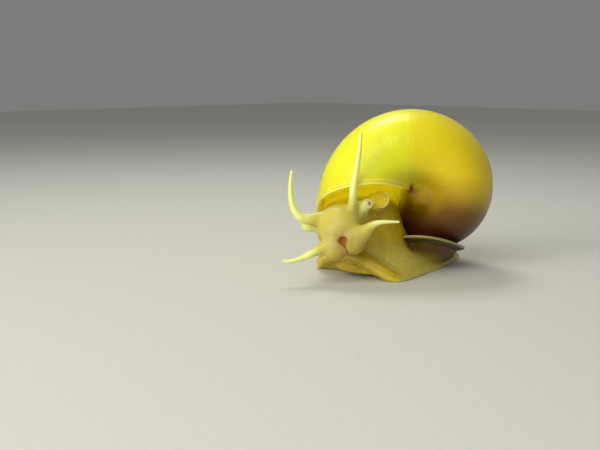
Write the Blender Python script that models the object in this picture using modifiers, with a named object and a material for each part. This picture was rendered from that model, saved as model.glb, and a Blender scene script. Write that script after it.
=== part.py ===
"""Apple snail, crawling, as a still life-size model.

The snail faces -Y with its left side at +X, and its sole lies on z = 0. Lengths below are millimetres,
turned to metres as each mesh is made. The shell is a helicospiral of one growing section. The flesh is
modelled whole, parted with thin cuts, and carries feelers made in lengths.
"""
import math

import bmesh
import bpy
import numpy as np
from mathutils import Matrix, Vector

MM = 0.001
GAP = 0.3                      # kept between neighbouring solids
BLOCK = 90.0                   # side of a cutting block
PARTS = "apple_snail"

# Name: colour and roughness
MATERIALS = {
    "shell_yellow": ((0.80, 0.62, 0.04), 0.25),
    "operculum_horn": ((0.25, 0.13, 0.09), 0.45),
    "skin_cream": ((0.85, 0.66, 0.34), 0.45),
    "eye_dark": ((0.30, 0.14, 0.20), 0.15),
}

# Shell: the axis runs from the apex towards the base, ahead and to the left
SHELL_APEX = (-11.9, 21.7, 14.6)
SHELL_TURN = 28.0              # of the axis from straight ahead, degrees
SHELL_TILT = 7.5               # of the axis above the floor, degrees
WHORL_GROWTH = 2.0             # size ratio from one whorl to the next
START_TURN = 191.0             # where the section has its full size, degrees round the axis
SECTION_RADIUS = 10.6          # section's middle from the axis
SECTION_HEIGHT = 27.5          # section's middle from the apex, along the axis
SECTION_OUT = 11.4             # half sizes of the section, outwards, inwards, to the apex and to the base
SECTION_IN = 10.05
SECTION_TOP = 14.3
SECTION_BASE = 14.1
SHOULDER_POWER = 2.5           # superellipse exponents of the section's quarters
BASE_POWER = 2.15
INNER_POWER = 2.4
WALL = 0.9
WHORL_SIDES = 36
WHORL_STEP = 9.4               # between rings, degrees
LAST_START = -278.0            # ends of the last length of the tube, before the lip is cut
LAST_STOP = 70.0
CAVITY_DEPTH = 62.0            # how far the mouth's hollow goes back, degrees round the axis
HOLLOW_EASE = 3.0              # the hollow starts this many degrees later for each millimetre of growth
HOLLOW_SIDES = 28
LIP_OFFSET = 11.4              # the plane of the lip, from the apex
LIP_LEAN = 0.22
LIP_RAKE = 0.36
BEYOND_START = -30.0           # what lies ahead of the lip is cut away from here
BEYOND_SIDES = 24
BEYOND_STEP = 10.0
CUT_MORE = 14.0                # cutters run on past the end of the tube, degrees
EARLY_SIDES = (24, 16, 12, 8)  # of the earlier whorls, towards the apex
EARLY_TURN = 345.0             # length of each, degrees
EARLY_OVERLAP = 10.0
EARLY_INSET = 0.012            # each lies this much deeper than the one before
CORE_START = 2.0               # the core and its callus close the umbilicus below its mouth
CORE_TIP = 0.3
CORE_TOP = 23.9
CORE_RADIUS = 1.0
CALLUS_RADIUS = 1.9
NUCLEUS_HEIGHT = 1.3           # the rounded first whorl
NUCLEUS_RADIUS = 0.9

# Flesh inside the shell
MANTLE_RECESS = 2.4            # behind the lip
MANTLE_EASE = 0.2              # more room round it
MANTLE_START = 2.0             # ahead of the end of the hollow, degrees
MANTLE_STOP = 60.0
MANTLE_STEP = 7.5

# Operculum: a shallow dish on the tail, under the shell
PLATE_CENTRE = (-1.5, 5.0, 3.9)
PLATE_HALF = (10.4, 8.0)       # along and across
PLATE_FULLNESS = 0.06          # widens the oval between its ends
PLATE_TURN = 20.0              # of its long axis from the body's, degrees
PLATE_SLOPE = (0.16, -0.25)    # rise for each millimetre to the left and to the back
PLATE_DISH = 1.8               # depth of the dish
PLATE_REACH = 9.5              # radius at which the dish reaches that depth
PLATE_THICK = 0.6
PLATE_EDGE = 0.18              # bevel of the rim
PLATE_SHARES = (0.12, 0.5, 0.97)
PLATE_SIDES = 36

# Foot
SOLE_FRONT = -16.5
SOLE_SHOULDER = -11.0          # where the sole is widest
SOLE_TAIL = 21.0
SOLE_HALF_WIDTH = 12.2
SOLE_TAPER = (1.15, 0.8)       # exponents of its outline behind the shoulder
SOLE_AXIS = (-8.2, -4.0)       # x of the midline at the front and at the tail
SOLE_MIDDLE = (-10.5, 15.0)    # y of the line that the slab's rings shrink to
SOLE_STATIONS = 30
SLAB_UNDER = (0.08, 0.5, 0.85, 0.99)
SLAB_OVER = (1.0, 0.96, 0.88, 0.75, 0.55, 0.3, 0.08)
SLAB_DEPTH = 0.8               # below the floor, before the sole is cut flat
SLAB_SWELL = 0.6               # share of the slab over which its top rises
FOOT_EDGE = 0.8                # thickness of the skirt
FOOT_RIM = 0.48                # and of its very edge
FOOT_FRONT_HEIGHT = 3.4
FOOT_TAIL_HEIGHT = 1.9
FOOT_FALL = (-6.0, 10.0)       # y over which the height falls
FRONT_LIFT = 4.2               # the middle of the front margin is raised
LIFT_BACK = 1.5                # the rise starts behind the shoulder
LIFT_RUN = 6.5
LIFT_MARGIN = 0.8
FRONT_ROLL = 1.25              # radius of the rolled front margin
ROLL_ARC = 82.0                # reach of the roll on each side, degrees
ROLL_ENDS = 0.6                # its radius there, as a share
ROLL_INSET = 0.9
ROLL_RINGS = 25

# Rows of the thick body between the foot and the shell: centre, half sizes and height
COLUMN = (((-6.8, -5.0), 9.6, 11.0, 1.0), ((-6.9, -5.4), 8.6, 9.9, 3.5), ((-7.4, -6.6), 7.6, 8.5, 6.5),
          ((-7.9, -7.8), 7.1, 7.9, 10.0), ((-8.3, -8.6), 6.9, 7.7, 13.5), ((-8.6, -9.0), 6.5, 7.2, 18.0))
# The pad under the operculum: rows on the tail, then shares of the plate with their rise
LOBE_ROWS = (((-5.3, 6.0), 5.0, 8.6, 0.6), ((-4.2, 6.0), 5.6, 8.4, 1.6))
LOBE_PADS = ((0.72, -1.6), (0.84, -0.3))

# Head: a frame at the mouth, turned to the left and rolled with its left side up.
# Places on the head are millimetres to its left, up and ahead.
MOUTH = (-1.75, -23.8, 9.6)
HEAD_TURN = 40.0
HEAD_PITCH = 5.0
HEAD_ROLL = 20.0
HEAD_BLOBS = {
    "skull": ((0.3, 3.0, -6.2), (4.9, 4.5, 5.2)),
    "face": ((0.1, 1.6, -3.6), (4.4, 4.1, 3.4)),
    "lobe_left": ((1.9, -1.3, -2.0), (2.5, 2.5, 2.2)),
    "lobe_right": ((-2.1, -1.3, -2.0), (2.6, 2.6, 2.2)),
}
NECK_ON_HEAD = ((0.2, 2.2, -5.5, 4.9), (0.4, 2.2, -9.5, 5.6))
NECK_ON_BODY = ((-8.6, -12.5, 13.4, 6.4), (-8.6, -8.6, 14.6, 6.2))
MOUTH_OPENING = ((0.0, 0.0, -0.35), (0.8, 0.8, 0.8))
MOUTH_CLEFT = ((0.1, -2.1, -0.5), (0.32, 2.3, 1.0))
EYE_RADIUS = 0.7
EYE_LEFT = (7.3, 5.3, -4.25)
EYE_RIGHT = (-6.8, 4.95, -7.6)

# Feelers: rows of left, up, ahead and radius, from the root to the tip
TENTACLE_LEFT = ((3.2, 4.4, -5.4, 1.6), (4.1, 5.7, -4.2, 1.2), (4.85, 7.5, -3.3, 0.92), (5.7, 9.5, -2.7, 0.8),
                 (7.6, 12.9, -2.4, 0.6), (9.4, 16.4, -2.4, 0.46), (10.9, 19.7, -2.6, 0.3))
TENTACLE_RIGHT = ((-2.3, 5.0, -5.4, 2.0), (-3.8, 5.75, -4.8, 1.6), (-5.4, 6.3, -4.4, 1.3), (-6.65, 7.1, -4.1, 1.07),
                  (-7.35, 8.4, -3.8, 0.86), (-7.6, 10.2, -3.7, 0.7), (-7.35, 11.9, -3.6, 0.62),
                  (-6.85, 13.7, -3.5, 0.5), (-6.1, 15.6, -3.6, 0.4), (-5.3, 17.2, -3.7, 0.31))
PALP_LEFT = ((1.6, -0.3, -2.4, 2.7), (3.2, -0.2, -2.0, 2.35), (4.7, 0.1, -1.7, 1.76), (6.5, 0.85, -1.3, 1.04),
             (8.0, 1.05, -1.05, 0.6), (9.5, 0.75, -0.9, 0.44), (12.3, -0.25, -0.9, 0.28))
PALP_RIGHT = ((-1.8, 0.0, -2.4, 2.4), (-3.8, -0.1, -2.0, 1.7), (-5.5, -0.3, -1.7, 1.15), (-7.7, -0.55, -1.3, 0.8),
              (-9.8, -0.65, -0.9, 0.56), (-11.8, -0.45, -0.4, 0.44), (-12.8, 0.1, -0.2, 0.36))
STALK_LEFT = ((3.6, 3.4, -7.0, 1.6), (5.2, 4.5, -6.2, 1.5), (6.4, 5.0, -5.5, 1.35), (7.2, 5.25, -5.0, 1.2),
              (7.7, 5.35, -4.7, 0.95), (8.0, 5.4, -4.5, 0.45))
STALK_RIGHT = ((-3.0, 3.2, -7.4, 1.6), (-4.4, 4.2, -7.2, 1.5), (-5.5, 4.7, -7.0, 1.35), (-6.3, 4.9, -6.9, 1.2),
               (-6.9, 5.0, -6.9, 0.95), (-7.2, 5.0, -6.9, 0.45))
# Each feeler: its rows, the distances along it where it leaves the head and is divided, and its sides
FEELERS = {
    "tentacle_left": (TENTACLE_LEFT, (3.9, 8.5, 13.2), 12),
    "tentacle_right": (TENTACLE_RIGHT, (4.4, 9.4, 14.4), 12),
    "palp_left": (PALP_LEFT, (5.6, 8.6), 12),
    "palp_right": (PALP_RIGHT, (4.6, 8.2), 12),
    "eye_stalk_left": (STALK_LEFT, (2.5,), 16),
    "eye_stalk_right": (STALK_RIGHT, (2.3,), 16),
}
FEELER_STEPS = 24              # points between two rows, where distances are measured
RING_STEP = 0.9                # distance between the rings of a feeler
TIP_RINGS = ((0.6, 0.8), (0.95, 0.35))
STUB_REACH = 1.2               # how far a root is carried on before it is cut flat
STUB_SIDES = 16
ROOT_CUTTER = 1.45             # radius of that cutter, as a share of the root's

# Siphon: the left lobe of the neck, rolled into a trough open to its left
SIPHON_MIDDLE = (-0.7, -13.2, 17.4)
SIPHON_AHEAD = (0.62, -0.76, 0.15)
SIPHON_LENGTH = 2.4
SIPHON_RADII = (1.55, 2.0)     # outside, at the root and at the rim
SIPHON_WALL = 0.75
SIPHON_ARC = (-140.0, 68.0)
SIPHON_RINGS = 6
SIPHON_POINTS = 15
SIPHON_ROOT = ((-3.0, 2.0), (1.0, 1.7))    # distances ahead of the trough and radii
SIPHON_CUTTER = (2.3, 4.0)     # radius and length

# Where the flesh is parted
MANTLE_CUT = -1.2              # from the plane of the lip
NAPE = (0.2, 3.0, -8.4)
NAPE_RADIUS = 7.8
HEAD_REACH = 16.0              # of the round cutter ahead of the nape
SNOUT_ROOT = (0.0, -1.5, -4.6)
SNOUT_LEAN = 27.0              # of that cut, degrees
TAIL_CUT = -0.5
FRONT_CUT = -8.5
FOOT_CUT_HEIGHT = 3.6
FOOT_CUT_SLOPE = 0.34

# Meshing of the flesh
FLESH_VOXEL = 0.5
FLESH_RELAX = 8
FLESH_TRIANGLES = 4700
SHARP_ANGLE = 40.0


def clear_scene():
    for obj in list(bpy.data.objects):
        bpy.data.objects.remove(obj, do_unlink=True)
    for old in list(bpy.data.collections):
        bpy.data.collections.remove(old)


def new_collection(name):
    made = bpy.data.collections.new(name)
    bpy.context.scene.collection.children.link(made)
    return made


def new_object(name, mesh, home):
    made = bpy.data.objects.new(name, mesh)
    home.objects.link(made)
    return made


def material(name):
    rgb, roughness = MATERIALS[name]
    made = bpy.data.materials.new(name)
    made.use_nodes = True
    shader = made.node_tree.nodes["Principled BSDF"]
    shader.inputs["Base Color"].default_value = (*rgb, 1.0)
    shader.inputs["Roughness"].default_value = roughness
    made.diffuse_color = (*rgb, 1.0)
    return made


# Shapes

def object_from(bm, name, home):
    mesh = bpy.data.meshes.new(name)
    bm.to_mesh(mesh)
    bm.free()
    return new_object(name, mesh, home)


def loft(name, rings, home):
    """A closed body through rings of points, with a flat cap on each end."""
    bm = bmesh.new()
    rows = [[bm.verts.new(Vector(point) * MM) for point in ring] for ring in rings]
    count = len(rows[0])
    for low, high in zip(rows, rows[1:]):
        for i in range(count):
            j = (i + 1) % count
            bm.faces.new((low[i], low[j], high[j], high[i]))
    bm.faces.new(rows[0])
    bm.faces.new(rows[-1])
    bmesh.ops.recalc_face_normals(bm, faces=bm.faces)
    return object_from(bm, name, home)


def smooth_path(points, steps):
    """Points on a Catmull-Rom curve through the given rows, which may carry a radius as a last value."""
    rows = np.asarray(points, float)
    rows = np.vstack([2 * rows[0] - rows[1], rows, 2 * rows[-1] - rows[-2]])
    made = []
    for a, b, c, d in zip(rows, rows[1:], rows[2:], rows[3:]):
        for t in np.arange(steps) / steps:
            made.append(0.5 * (2 * b + (c - a) * t + (2 * a - 5 * b + 4 * c - d) * t ** 2
                               + (3 * b - a - 3 * c + d) * t ** 3))
    made.append(rows[-2])
    return np.array(made)


def even_angles(count):
    return np.arange(count) * 2 * math.pi / count


def tube_rings(path, sides):
    """Rings round a path whose rows are x, y, z and radius."""
    centres, radii = path[:, :3], path[:, 3]
    ahead = np.gradient(centres, axis=0)
    ahead /= np.linalg.norm(ahead, axis=1)[:, None]
    across = np.roll(ahead[0], 1)
    rings = []
    for centre, along, radius in zip(centres, ahead, radii):
        across = across - along * (across @ along)
        across /= np.linalg.norm(across)
        up = np.cross(along, across)
        rings.append([centre + radius * (math.cos(a) * across + math.sin(a) * up) for a in even_angles(sides)])
    return rings


def tube(name, path, sides, home):
    return loft(name, tube_rings(np.asarray(path, float), sides), home)


def blob(name, centre, radii, axes, home, segments=24):
    """An ellipsoid with its radii along the given axes."""
    bm = bmesh.new()
    bmesh.ops.create_uvsphere(bm, u_segments=segments, v_segments=segments // 2, radius=1.0)
    turn = Matrix([[axes[j][i] * radii[j] * MM for j in range(3)] for i in range(3)]).to_4x4()
    bmesh.ops.transform(bm, matrix=Matrix.Translation(Vector(centre) * MM) @ turn, verts=bm.verts)
    bmesh.ops.recalc_face_normals(bm, faces=bm.faces)
    return object_from(bm, name, home)


def set_along(bm, point, normal, length):
    """Turns a primitive's Z to the normal and sets its lower end on the point."""
    normal = np.asarray(normal, float) / np.linalg.norm(normal)
    turn = Vector((0, 0, 1)).rotation_difference(Vector(normal)).to_matrix().to_4x4()
    place = Matrix.Translation(Vector(np.asarray(point) + normal * length / 2) * MM)
    bmesh.ops.transform(bm, matrix=place @ turn, verts=bm.verts)


def half_space(name, point, normal, home):
    """A large block that starts at a plane and lies on the side that the normal points to."""
    bm = bmesh.new()
    bmesh.ops.create_cube(bm, size=BLOCK * MM)
    set_along(bm, point, normal, BLOCK)
    return object_from(bm, name, home)


def drum(name, point, normal, radius, length, home, sides=24):
    """A round cutter that starts at a plane."""
    bm = bmesh.new()
    bmesh.ops.create_cone(bm, cap_ends=True, segments=sides, radius1=radius * MM, radius2=radius * MM,
                          depth=length * MM)
    set_along(bm, point, normal, length)
    return object_from(bm, name, home)


# Joining and cutting

def bake(obj):
    """Applies an object's modifiers to its mesh."""
    graph = bpy.context.evaluated_depsgraph_get()
    mesh = bpy.data.meshes.new_from_object(obj.evaluated_get(graph))
    obj.modifiers.clear()
    obj.data = mesh
    return obj


def remove(*objects):
    for obj in objects:
        bpy.data.objects.remove(obj, do_unlink=True)


def union(base, others, home):
    """One Boolean union on a collection of closed meshes, applied."""
    pieces = bpy.data.collections.new("pieces")
    home.children.link(pieces)
    for obj in others:
        home.objects.unlink(obj)
        pieces.objects.link(obj)
    join = base.modifiers.new("join", "BOOLEAN")
    join.operation = "UNION"
    join.operand_type = "COLLECTION"
    join.solver = "MANIFOLD"
    join.collection = pieces
    bake(base)
    remove(*others)
    bpy.data.collections.remove(pieces)
    return base


def boolean(base, cutter, operation="DIFFERENCE"):
    """Cuts a body with a cutter, or keeps what they share, and removes the cutter."""
    cut = base.modifiers.new("cut", "BOOLEAN")
    cut.operation = operation
    cut.solver = "MANIFOLD"
    cut.object = cutter
    bake(base)
    remove(cutter)
    return base


def copy_of(obj, name, home):
    return new_object(name, obj.data.copy(), home)


def keep_largest(obj):
    """Keeps the body with the largest volume and drops loose scraps."""
    bm = bmesh.new()
    bm.from_mesh(obj.data)
    bmesh.ops.triangulate(bm, faces=bm.faces)
    left, bodies = set(bm.faces), []
    while left:
        todo, body = [left.pop()], []
        while todo:
            face = todo.pop()
            body.append(face)
            for edge in face.edges:
                for near in edge.link_faces:
                    if near in left:
                        left.remove(near)
                        todo.append(near)
        volume = sum(f.verts[0].co.dot(f.verts[1].co.cross(f.verts[2].co)) for f in body)
        bodies.append((volume, body))
    bodies.sort(key=lambda item: item[0])
    spare = [face for volume, body in bodies[:-1] for face in body]
    bmesh.ops.delete(bm, geom=spare, context="FACES")
    bm.to_mesh(obj.data)
    bm.free()
    return obj


def part_by_plane(obj, name, point, normal, home):
    """Parts a body at a plane and keeps a gap. Returns the piece on the normal's side as a new object."""
    normal = np.asarray(normal, float) / np.linalg.norm(normal)
    point = np.asarray(point, float)
    piece = copy_of(obj, name, home)
    boolean(piece, half_space("keep", point + normal * GAP / 2, normal, home), "INTERSECT")
    boolean(obj, half_space("keep", point - normal * GAP / 2, -normal, home), "INTERSECT")
    keep_largest(obj)
    return keep_largest(piece)


def finish(obj, name, surface, home):
    """Names a finished node, gives it its material and moves it to the parts."""
    obj.name = name
    obj.data.name = name
    for old in list(obj.users_collection):
        old.objects.unlink(obj)
    home.objects.link(obj)
    obj.data.materials.clear()
    obj.data.materials.append(surface)
    obj.data.shade_smooth()
    obj.data.set_sharp_from_angle(angle=math.radians(SHARP_ANGLE))
    return obj


# Shell

def shell_axes():
    turn, tilt = math.radians(SHELL_TURN), math.radians(SHELL_TILT)
    axis = np.array([math.sin(turn) * math.cos(tilt), -math.cos(turn) * math.cos(tilt), math.sin(tilt)])
    across = np.array([math.cos(turn), math.sin(turn), 0.0])
    return across, np.cross(axis, across), axis


def section_point(angle, grow):
    """The whorl's section at full size, its half sizes larger by grow: distance from the axis and height."""
    c, s = math.cos(angle), math.sin(angle)
    if c < 0:
        power = INNER_POWER
    else:
        power = SHOULDER_POWER if s < 0 else BASE_POWER
    out = (SECTION_OUT if c > 0 else SECTION_IN) + grow
    along = (SECTION_BASE if s > 0 else SECTION_TOP) + grow
    radius = SECTION_RADIUS + out * math.copysign(abs(c) ** (2 / power), c)
    height = SECTION_HEIGHT + along * math.copysign(abs(s) ** (2 / power), s)
    return radius, height


def whorl_ring(turn, sides, grow):
    across, up, axis = shell_axes()
    scale = WHORL_GROWTH ** (turn / 360)
    spin = math.radians(START_TURN + turn)
    away = math.cos(spin) * across + math.sin(spin) * up
    ring = []
    for angle in even_angles(sides) + math.pi / sides:
        radius, height = section_point(angle, grow / scale)
        ring.append(np.array(SHELL_APEX) + scale * (radius * away + height * axis))
    return ring


def whorl(name, start, stop, sides, step, grow, home):
    """A length of the shell's tube, at most one turn, from one angle to another."""
    count = round((stop - start) / step)
    turns = [start + (stop - start) * i / count for i in range(count + 1)]
    return loft(name, [whorl_ring(turn, sides, grow) for turn in turns], home)


def lip_plane(ahead):
    """A point on the plane of the lip, moved by that much, and its normal, which points out of the mouth."""
    across, up, axis = shell_axes()
    normal = -up + LIP_LEAN * across + LIP_RAKE * axis
    length = np.linalg.norm(normal)
    return np.array(SHELL_APEX) + normal * (LIP_OFFSET / length ** 2 + ahead / length), normal / length


def last_whorl(name, grow, home):
    """Nearly the whole last turn, cut at the lip and hollow behind it."""
    stop = LAST_STOP + CUT_MORE
    body = whorl(name, LAST_START, LAST_STOP, WHORL_SIDES, WHORL_STEP, grow, home)
    beyond = whorl("beyond", BEYOND_START, stop, BEYOND_SIDES, BEYOND_STEP, grow + 2 * WALL, home)
    boolean(beyond, half_space("lip", *lip_plane(grow), home), "INTERSECT")
    boolean(body, beyond)
    start = HOLLOW_EASE * grow - CAVITY_DEPTH
    return boolean(body, whorl("hollow", start, stop, HOLLOW_SIDES, WHORL_STEP, -WALL - grow, home))


def early_whorl(number, grow, home):
    """One of the whorls before it, in a length of less than a turn."""
    sides = EARLY_SIDES[number]
    stop = LAST_START + EARLY_OVERLAP - (EARLY_TURN - EARLY_OVERLAP) * number
    inset = EARLY_INSET * (number + 1)
    return whorl(f"whorl_{number}", stop - EARLY_TURN, stop, sides, EARLY_TURN / sides, grow - inset, home)


def shell(home):
    axis = shell_axes()[2]
    apex = np.array(SHELL_APEX)
    body = last_whorl("shell", 0.0, home)
    pieces = [early_whorl(number, 0.0, home) for number in range(len(EARLY_SIDES))]
    start, end = apex + axis * CORE_START, apex + axis * CORE_TOP
    pieces.append(tube("core", [(*start, CORE_TIP), (*end, CORE_RADIUS)], 12, home))
    pieces.append(blob("callus", end, [CALLUS_RADIUS] * 3, np.eye(3), home, 20))
    pieces.append(blob("nucleus", apex + axis * NUCLEUS_HEIGHT, [NUCLEUS_RADIUS] * 3, np.eye(3), home, 12))
    return keep_largest(union(body, pieces, home))


# Operculum

def plate_height(x, y):
    dx, dy = x - PLATE_CENTRE[0], y - PLATE_CENTRE[1]
    dish = PLATE_DISH * (dx * dx + dy * dy) / PLATE_REACH ** 2
    return PLATE_CENTRE[2] + PLATE_SLOPE[0] * dx + PLATE_SLOPE[1] * dy + dish


def plate_outline(share, grow, rise):
    """A ring on the plate: its outline made smaller by share, larger by grow and higher by rise."""
    turn = math.radians(PLATE_TURN)
    along = np.array([math.sin(turn), -math.cos(turn)])
    aside = np.array([math.cos(turn), math.sin(turn)])
    ring = []
    for a in even_angles(PLATE_SIDES):
        ahead = (PLATE_HALF[0] + grow) * math.cos(a) * (1 + PLATE_FULLNESS * math.sin(a) ** 2)
        flat = (along * ahead + aside * (PLATE_HALF[1] + grow) * math.sin(a)) * share
        x, y = PLATE_CENTRE[0] + flat[0], PLATE_CENTRE[1] + flat[1]
        ring.append((x, y, plate_height(x, y) + rise))
    return ring


def operculum(name, grow, home):
    low, high = -PLATE_THICK - grow, grow
    rings = [plate_outline(share, grow, low) for share in PLATE_SHARES]
    rings += [plate_outline(1.0, grow, low + PLATE_EDGE), plate_outline(1.0, grow, high - PLATE_EDGE)]
    rings += [plate_outline(share, grow, high) for share in reversed(PLATE_SHARES)]
    return loft(name, rings, home)


# Foot

def sole_axis(y):
    share = (y - SOLE_FRONT) / (SOLE_TAIL - SOLE_FRONT)
    return SOLE_AXIS[0] + (SOLE_AXIS[1] - SOLE_AXIS[0]) * share


def sole_half_width(y):
    if y < SOLE_SHOULDER:
        share = (SOLE_SHOULDER - y) / (SOLE_SHOULDER - SOLE_FRONT)
        return SOLE_HALF_WIDTH * math.sqrt(max(0.0, 1 - share ** 2))
    share = (y - SOLE_SHOULDER) / (SOLE_TAIL - SOLE_SHOULDER)
    return SOLE_HALF_WIDTH * max(0.0, 1 - share ** SOLE_TAPER[0]) ** SOLE_TAPER[1]


def sole_outline():
    """Points round the sole, from the tail up the left side, round the front and down the right side."""
    ys = [SOLE_TAIL - (SOLE_TAIL - SOLE_FRONT) * (1 - math.cos(math.pi * i / SOLE_STATIONS)) / 2
          for i in range(SOLE_STATIONS + 1)]
    left = [(sole_axis(y) + sole_half_width(y), y) for y in ys]
    right = [(sole_axis(y) - sole_half_width(y), y) for y in reversed(ys[1:-1])]
    return left + right


def front_lift(x, y):
    """How far the front of the sole is raised there."""
    ahead = min(1.0, max(0.0, (SOLE_SHOULDER + LIFT_BACK - y) / LIFT_RUN))
    aside = (x - sole_axis(y)) / (SOLE_HALF_WIDTH - LIFT_MARGIN)
    return FRONT_LIFT * ahead ** 2 * (3 - 2 * ahead) * max(0.0, 1 - aside ** 2)


def foot_height(y):
    share = min(1.0, max(0.0, (y - FOOT_FALL[0]) / (FOOT_FALL[1] - FOOT_FALL[0])))
    return FOOT_FRONT_HEIGHT + (FOOT_TAIL_HEIGHT - FOOT_FRONT_HEIGHT) * share


def slab_ring(share, over):
    """A ring of the foot, its outline shrunk towards the midline, on its top or below the floor."""
    ring = []
    for x, y in sole_outline():
        middle_y = min(SOLE_MIDDLE[1], max(SOLE_MIDDLE[0], y))
        middle_x = sole_axis(middle_y)
        px, py = middle_x + (x - middle_x) * share, middle_y + (y - middle_y) * share
        swell = math.sin(min(1.0, (1 - share) / SLAB_SWELL) * math.pi / 2)
        edge = FOOT_RIM if share == 1.0 else FOOT_EDGE
        z = edge + (foot_height(py) - FOOT_EDGE) * swell if over else -SLAB_DEPTH
        ring.append((px, py, front_lift(px, py) + z))
    return ring


def foot_slab(home):
    rings = [slab_ring(share, False) for share in SLAB_UNDER] + [slab_ring(share, True) for share in SLAB_OVER]
    return loft("slab", rings, home)


def front_margin(home):
    """The thick rolled margin round the front of the foot."""
    rows = []
    for a in np.radians(np.linspace(-ROLL_ARC, ROLL_ARC, ROLL_RINGS)):
        y = SOLE_SHOULDER - (SOLE_SHOULDER - SOLE_FRONT - ROLL_INSET) * math.cos(a)
        x = sole_axis(y) + (SOLE_HALF_WIDTH - ROLL_INSET) * math.sin(a)
        radius = FRONT_ROLL * (ROLL_ENDS + (1 - ROLL_ENDS) * math.cos(a))
        rows.append((x, y, front_lift(x, y) + radius, radius))
    return tube("margin", rows, 14, home)


def ellipse_ring(centre, half_x, half_y, z, angles):
    return [(centre[0] + half_x * math.cos(a), centre[1] + half_y * math.sin(a), z) for a in angles]


def column(home):
    """The thick body between the foot and the mouth of the shell."""
    return loft("column", [ellipse_ring(*row, even_angles(32)) for row in COLUMN], home)


def opercular_lobe(home):
    """The pad of the tail that carries the operculum."""
    pads = [plate_outline(share, 0.0, rise) for share, rise in LOBE_PADS]
    angles = [math.atan2(y - PLATE_CENTRE[1], x - PLATE_CENTRE[0]) for x, y, z in pads[0]]
    return loft("lobe", [ellipse_ring(*row, angles) for row in LOBE_ROWS] + pads, home)


# Head

def head_axes():
    turn, pitch, roll = (math.radians(a) for a in (HEAD_TURN, HEAD_PITCH, HEAD_ROLL))
    ahead = np.array([math.sin(turn) * math.cos(pitch), -math.cos(turn) * math.cos(pitch), math.sin(pitch)])
    level = np.array([math.cos(turn), math.sin(turn), 0.0])
    left = level * math.cos(roll) + np.cross(ahead, level) * math.sin(roll)
    return left, np.cross(ahead, left), ahead


def head_point(left, up, ahead):
    axes = head_axes()
    return np.array(MOUTH) + left * axes[0] + up * axes[1] + ahead * axes[2]


def head_row(left, up, ahead, radius):
    return (*head_point(left, up, ahead), radius)


def feeler_length(rows, start, stop):
    """The part of a feeler's path between two distances from its root, in even steps."""
    path = smooth_path([head_row(*row) for row in rows], FEELER_STEPS)
    far = np.concatenate(([0.0], np.cumsum(np.linalg.norm(np.diff(path[:, :3], axis=0), axis=1))))
    stop = min(stop, far[-1])
    at = np.linspace(start, stop, max(3, round((stop - start) / RING_STEP) + 1))
    return np.column_stack([np.interp(at, far, path[:, i]) for i in range(4)])


def rounded_tip(path):
    """Adds small rings past the end."""
    ahead = path[-1, :3] - path[-2, :3]
    ahead /= np.linalg.norm(ahead)
    radius = path[-1, 3]
    return np.vstack([path, *[(*(path[-1, :3] + ahead * radius * far), radius * share) for far, share in TIP_RINGS]])


def feelers(home):
    """Each feeler's lengths, named from the root outwards."""
    made = {}
    for name, (rows, cuts, sides) in FEELERS.items():
        ends = [*cuts, math.inf]
        for i, (start, stop) in enumerate(zip(ends, ends[1:])):
            path = feeler_length(rows, start + GAP / 2, stop - GAP / 2)
            if stop == math.inf:
                path = rounded_tip(path)
            node = f"{name}_{i + 1}" if len(cuts) > 1 else name
            made[node] = tube(node, path, sides, home)
    return made


def cut_roots(body, home):
    """Cuts each root flat across, where its feeler starts."""
    for rows, cuts, sides in FEELERS.values():
        path = feeler_length(rows, cuts[0] - GAP / 2, cuts[0] + STUB_REACH)
        radius = path[0, 3] * ROOT_CUTTER
        boolean(body, drum("end", path[0, :3], path[1, :3] - path[0, :3], radius, 2 * STUB_REACH, home))


def siphon_root():
    """Where the trough starts, and the direction it points in."""
    ahead = np.array(SIPHON_AHEAD) / np.linalg.norm(SIPHON_AHEAD)
    return np.array(SIPHON_MIDDLE) - ahead * SIPHON_LENGTH, ahead


def siphon(home):
    """A rolled flap: crescents from the root to the flared rim."""
    root, ahead = siphon_root()
    left = np.cross((0, 0, 1), ahead)
    left /= np.linalg.norm(left)
    up = np.cross(ahead, left)
    angles = np.radians(np.linspace(*SIPHON_ARC, SIPHON_POINTS))
    rings = []
    for share in np.linspace(0, 1, SIPHON_RINGS):
        centre = root + ahead * SIPHON_LENGTH * share
        outer = SIPHON_RADII[0] + (SIPHON_RADII[1] - SIPHON_RADII[0]) * share ** 2
        inner = outer - SIPHON_WALL
        ring = [centre + outer * (math.cos(a) * left + math.sin(a) * up) for a in angles]
        ring += [centre + inner * (math.cos(a) * left + math.sin(a) * up) for a in angles[::-1]]
        rings.append(ring)
    return loft("siphon", rings, home)


def eye(name, place, grow, home):
    return blob(name, head_point(*place), [EYE_RADIUS + grow] * 3, head_axes(), home, 12)


def head_blobs(home):
    return [blob(name, head_point(*place), radii, head_axes(), home)
            for name, (place, radii) in HEAD_BLOBS.items()]


def neck(home):
    rows = [head_row(*row) for row in NECK_ON_HEAD] + list(NECK_ON_BODY)
    return tube("neck", smooth_path(rows, 4), 28, home)


def stubs(home):
    """The roots of the feelers, eye stalks and siphon, joined to the head and neck."""
    made = [tube("stub", feeler_length(rows, 0.0, cuts[0] + STUB_REACH), STUB_SIDES, home)
            for rows, cuts, sides in FEELERS.values()]
    root, ahead = siphon_root()
    made.append(tube("stub", [(*(root + ahead * far), radius) for far, radius in SIPHON_ROOT], STUB_SIDES, home))
    return made


def mantle_plug(home):
    """The flesh that fills the hollow of the shell."""
    inset = -WALL - GAP - MANTLE_EASE
    plug = whorl("plug", MANTLE_START - CAVITY_DEPTH, MANTLE_STOP, WHORL_SIDES, MANTLE_STEP, inset, home)
    return boolean(plug, half_space("recess", *lip_plane(-MANTLE_RECESS), home))


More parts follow.
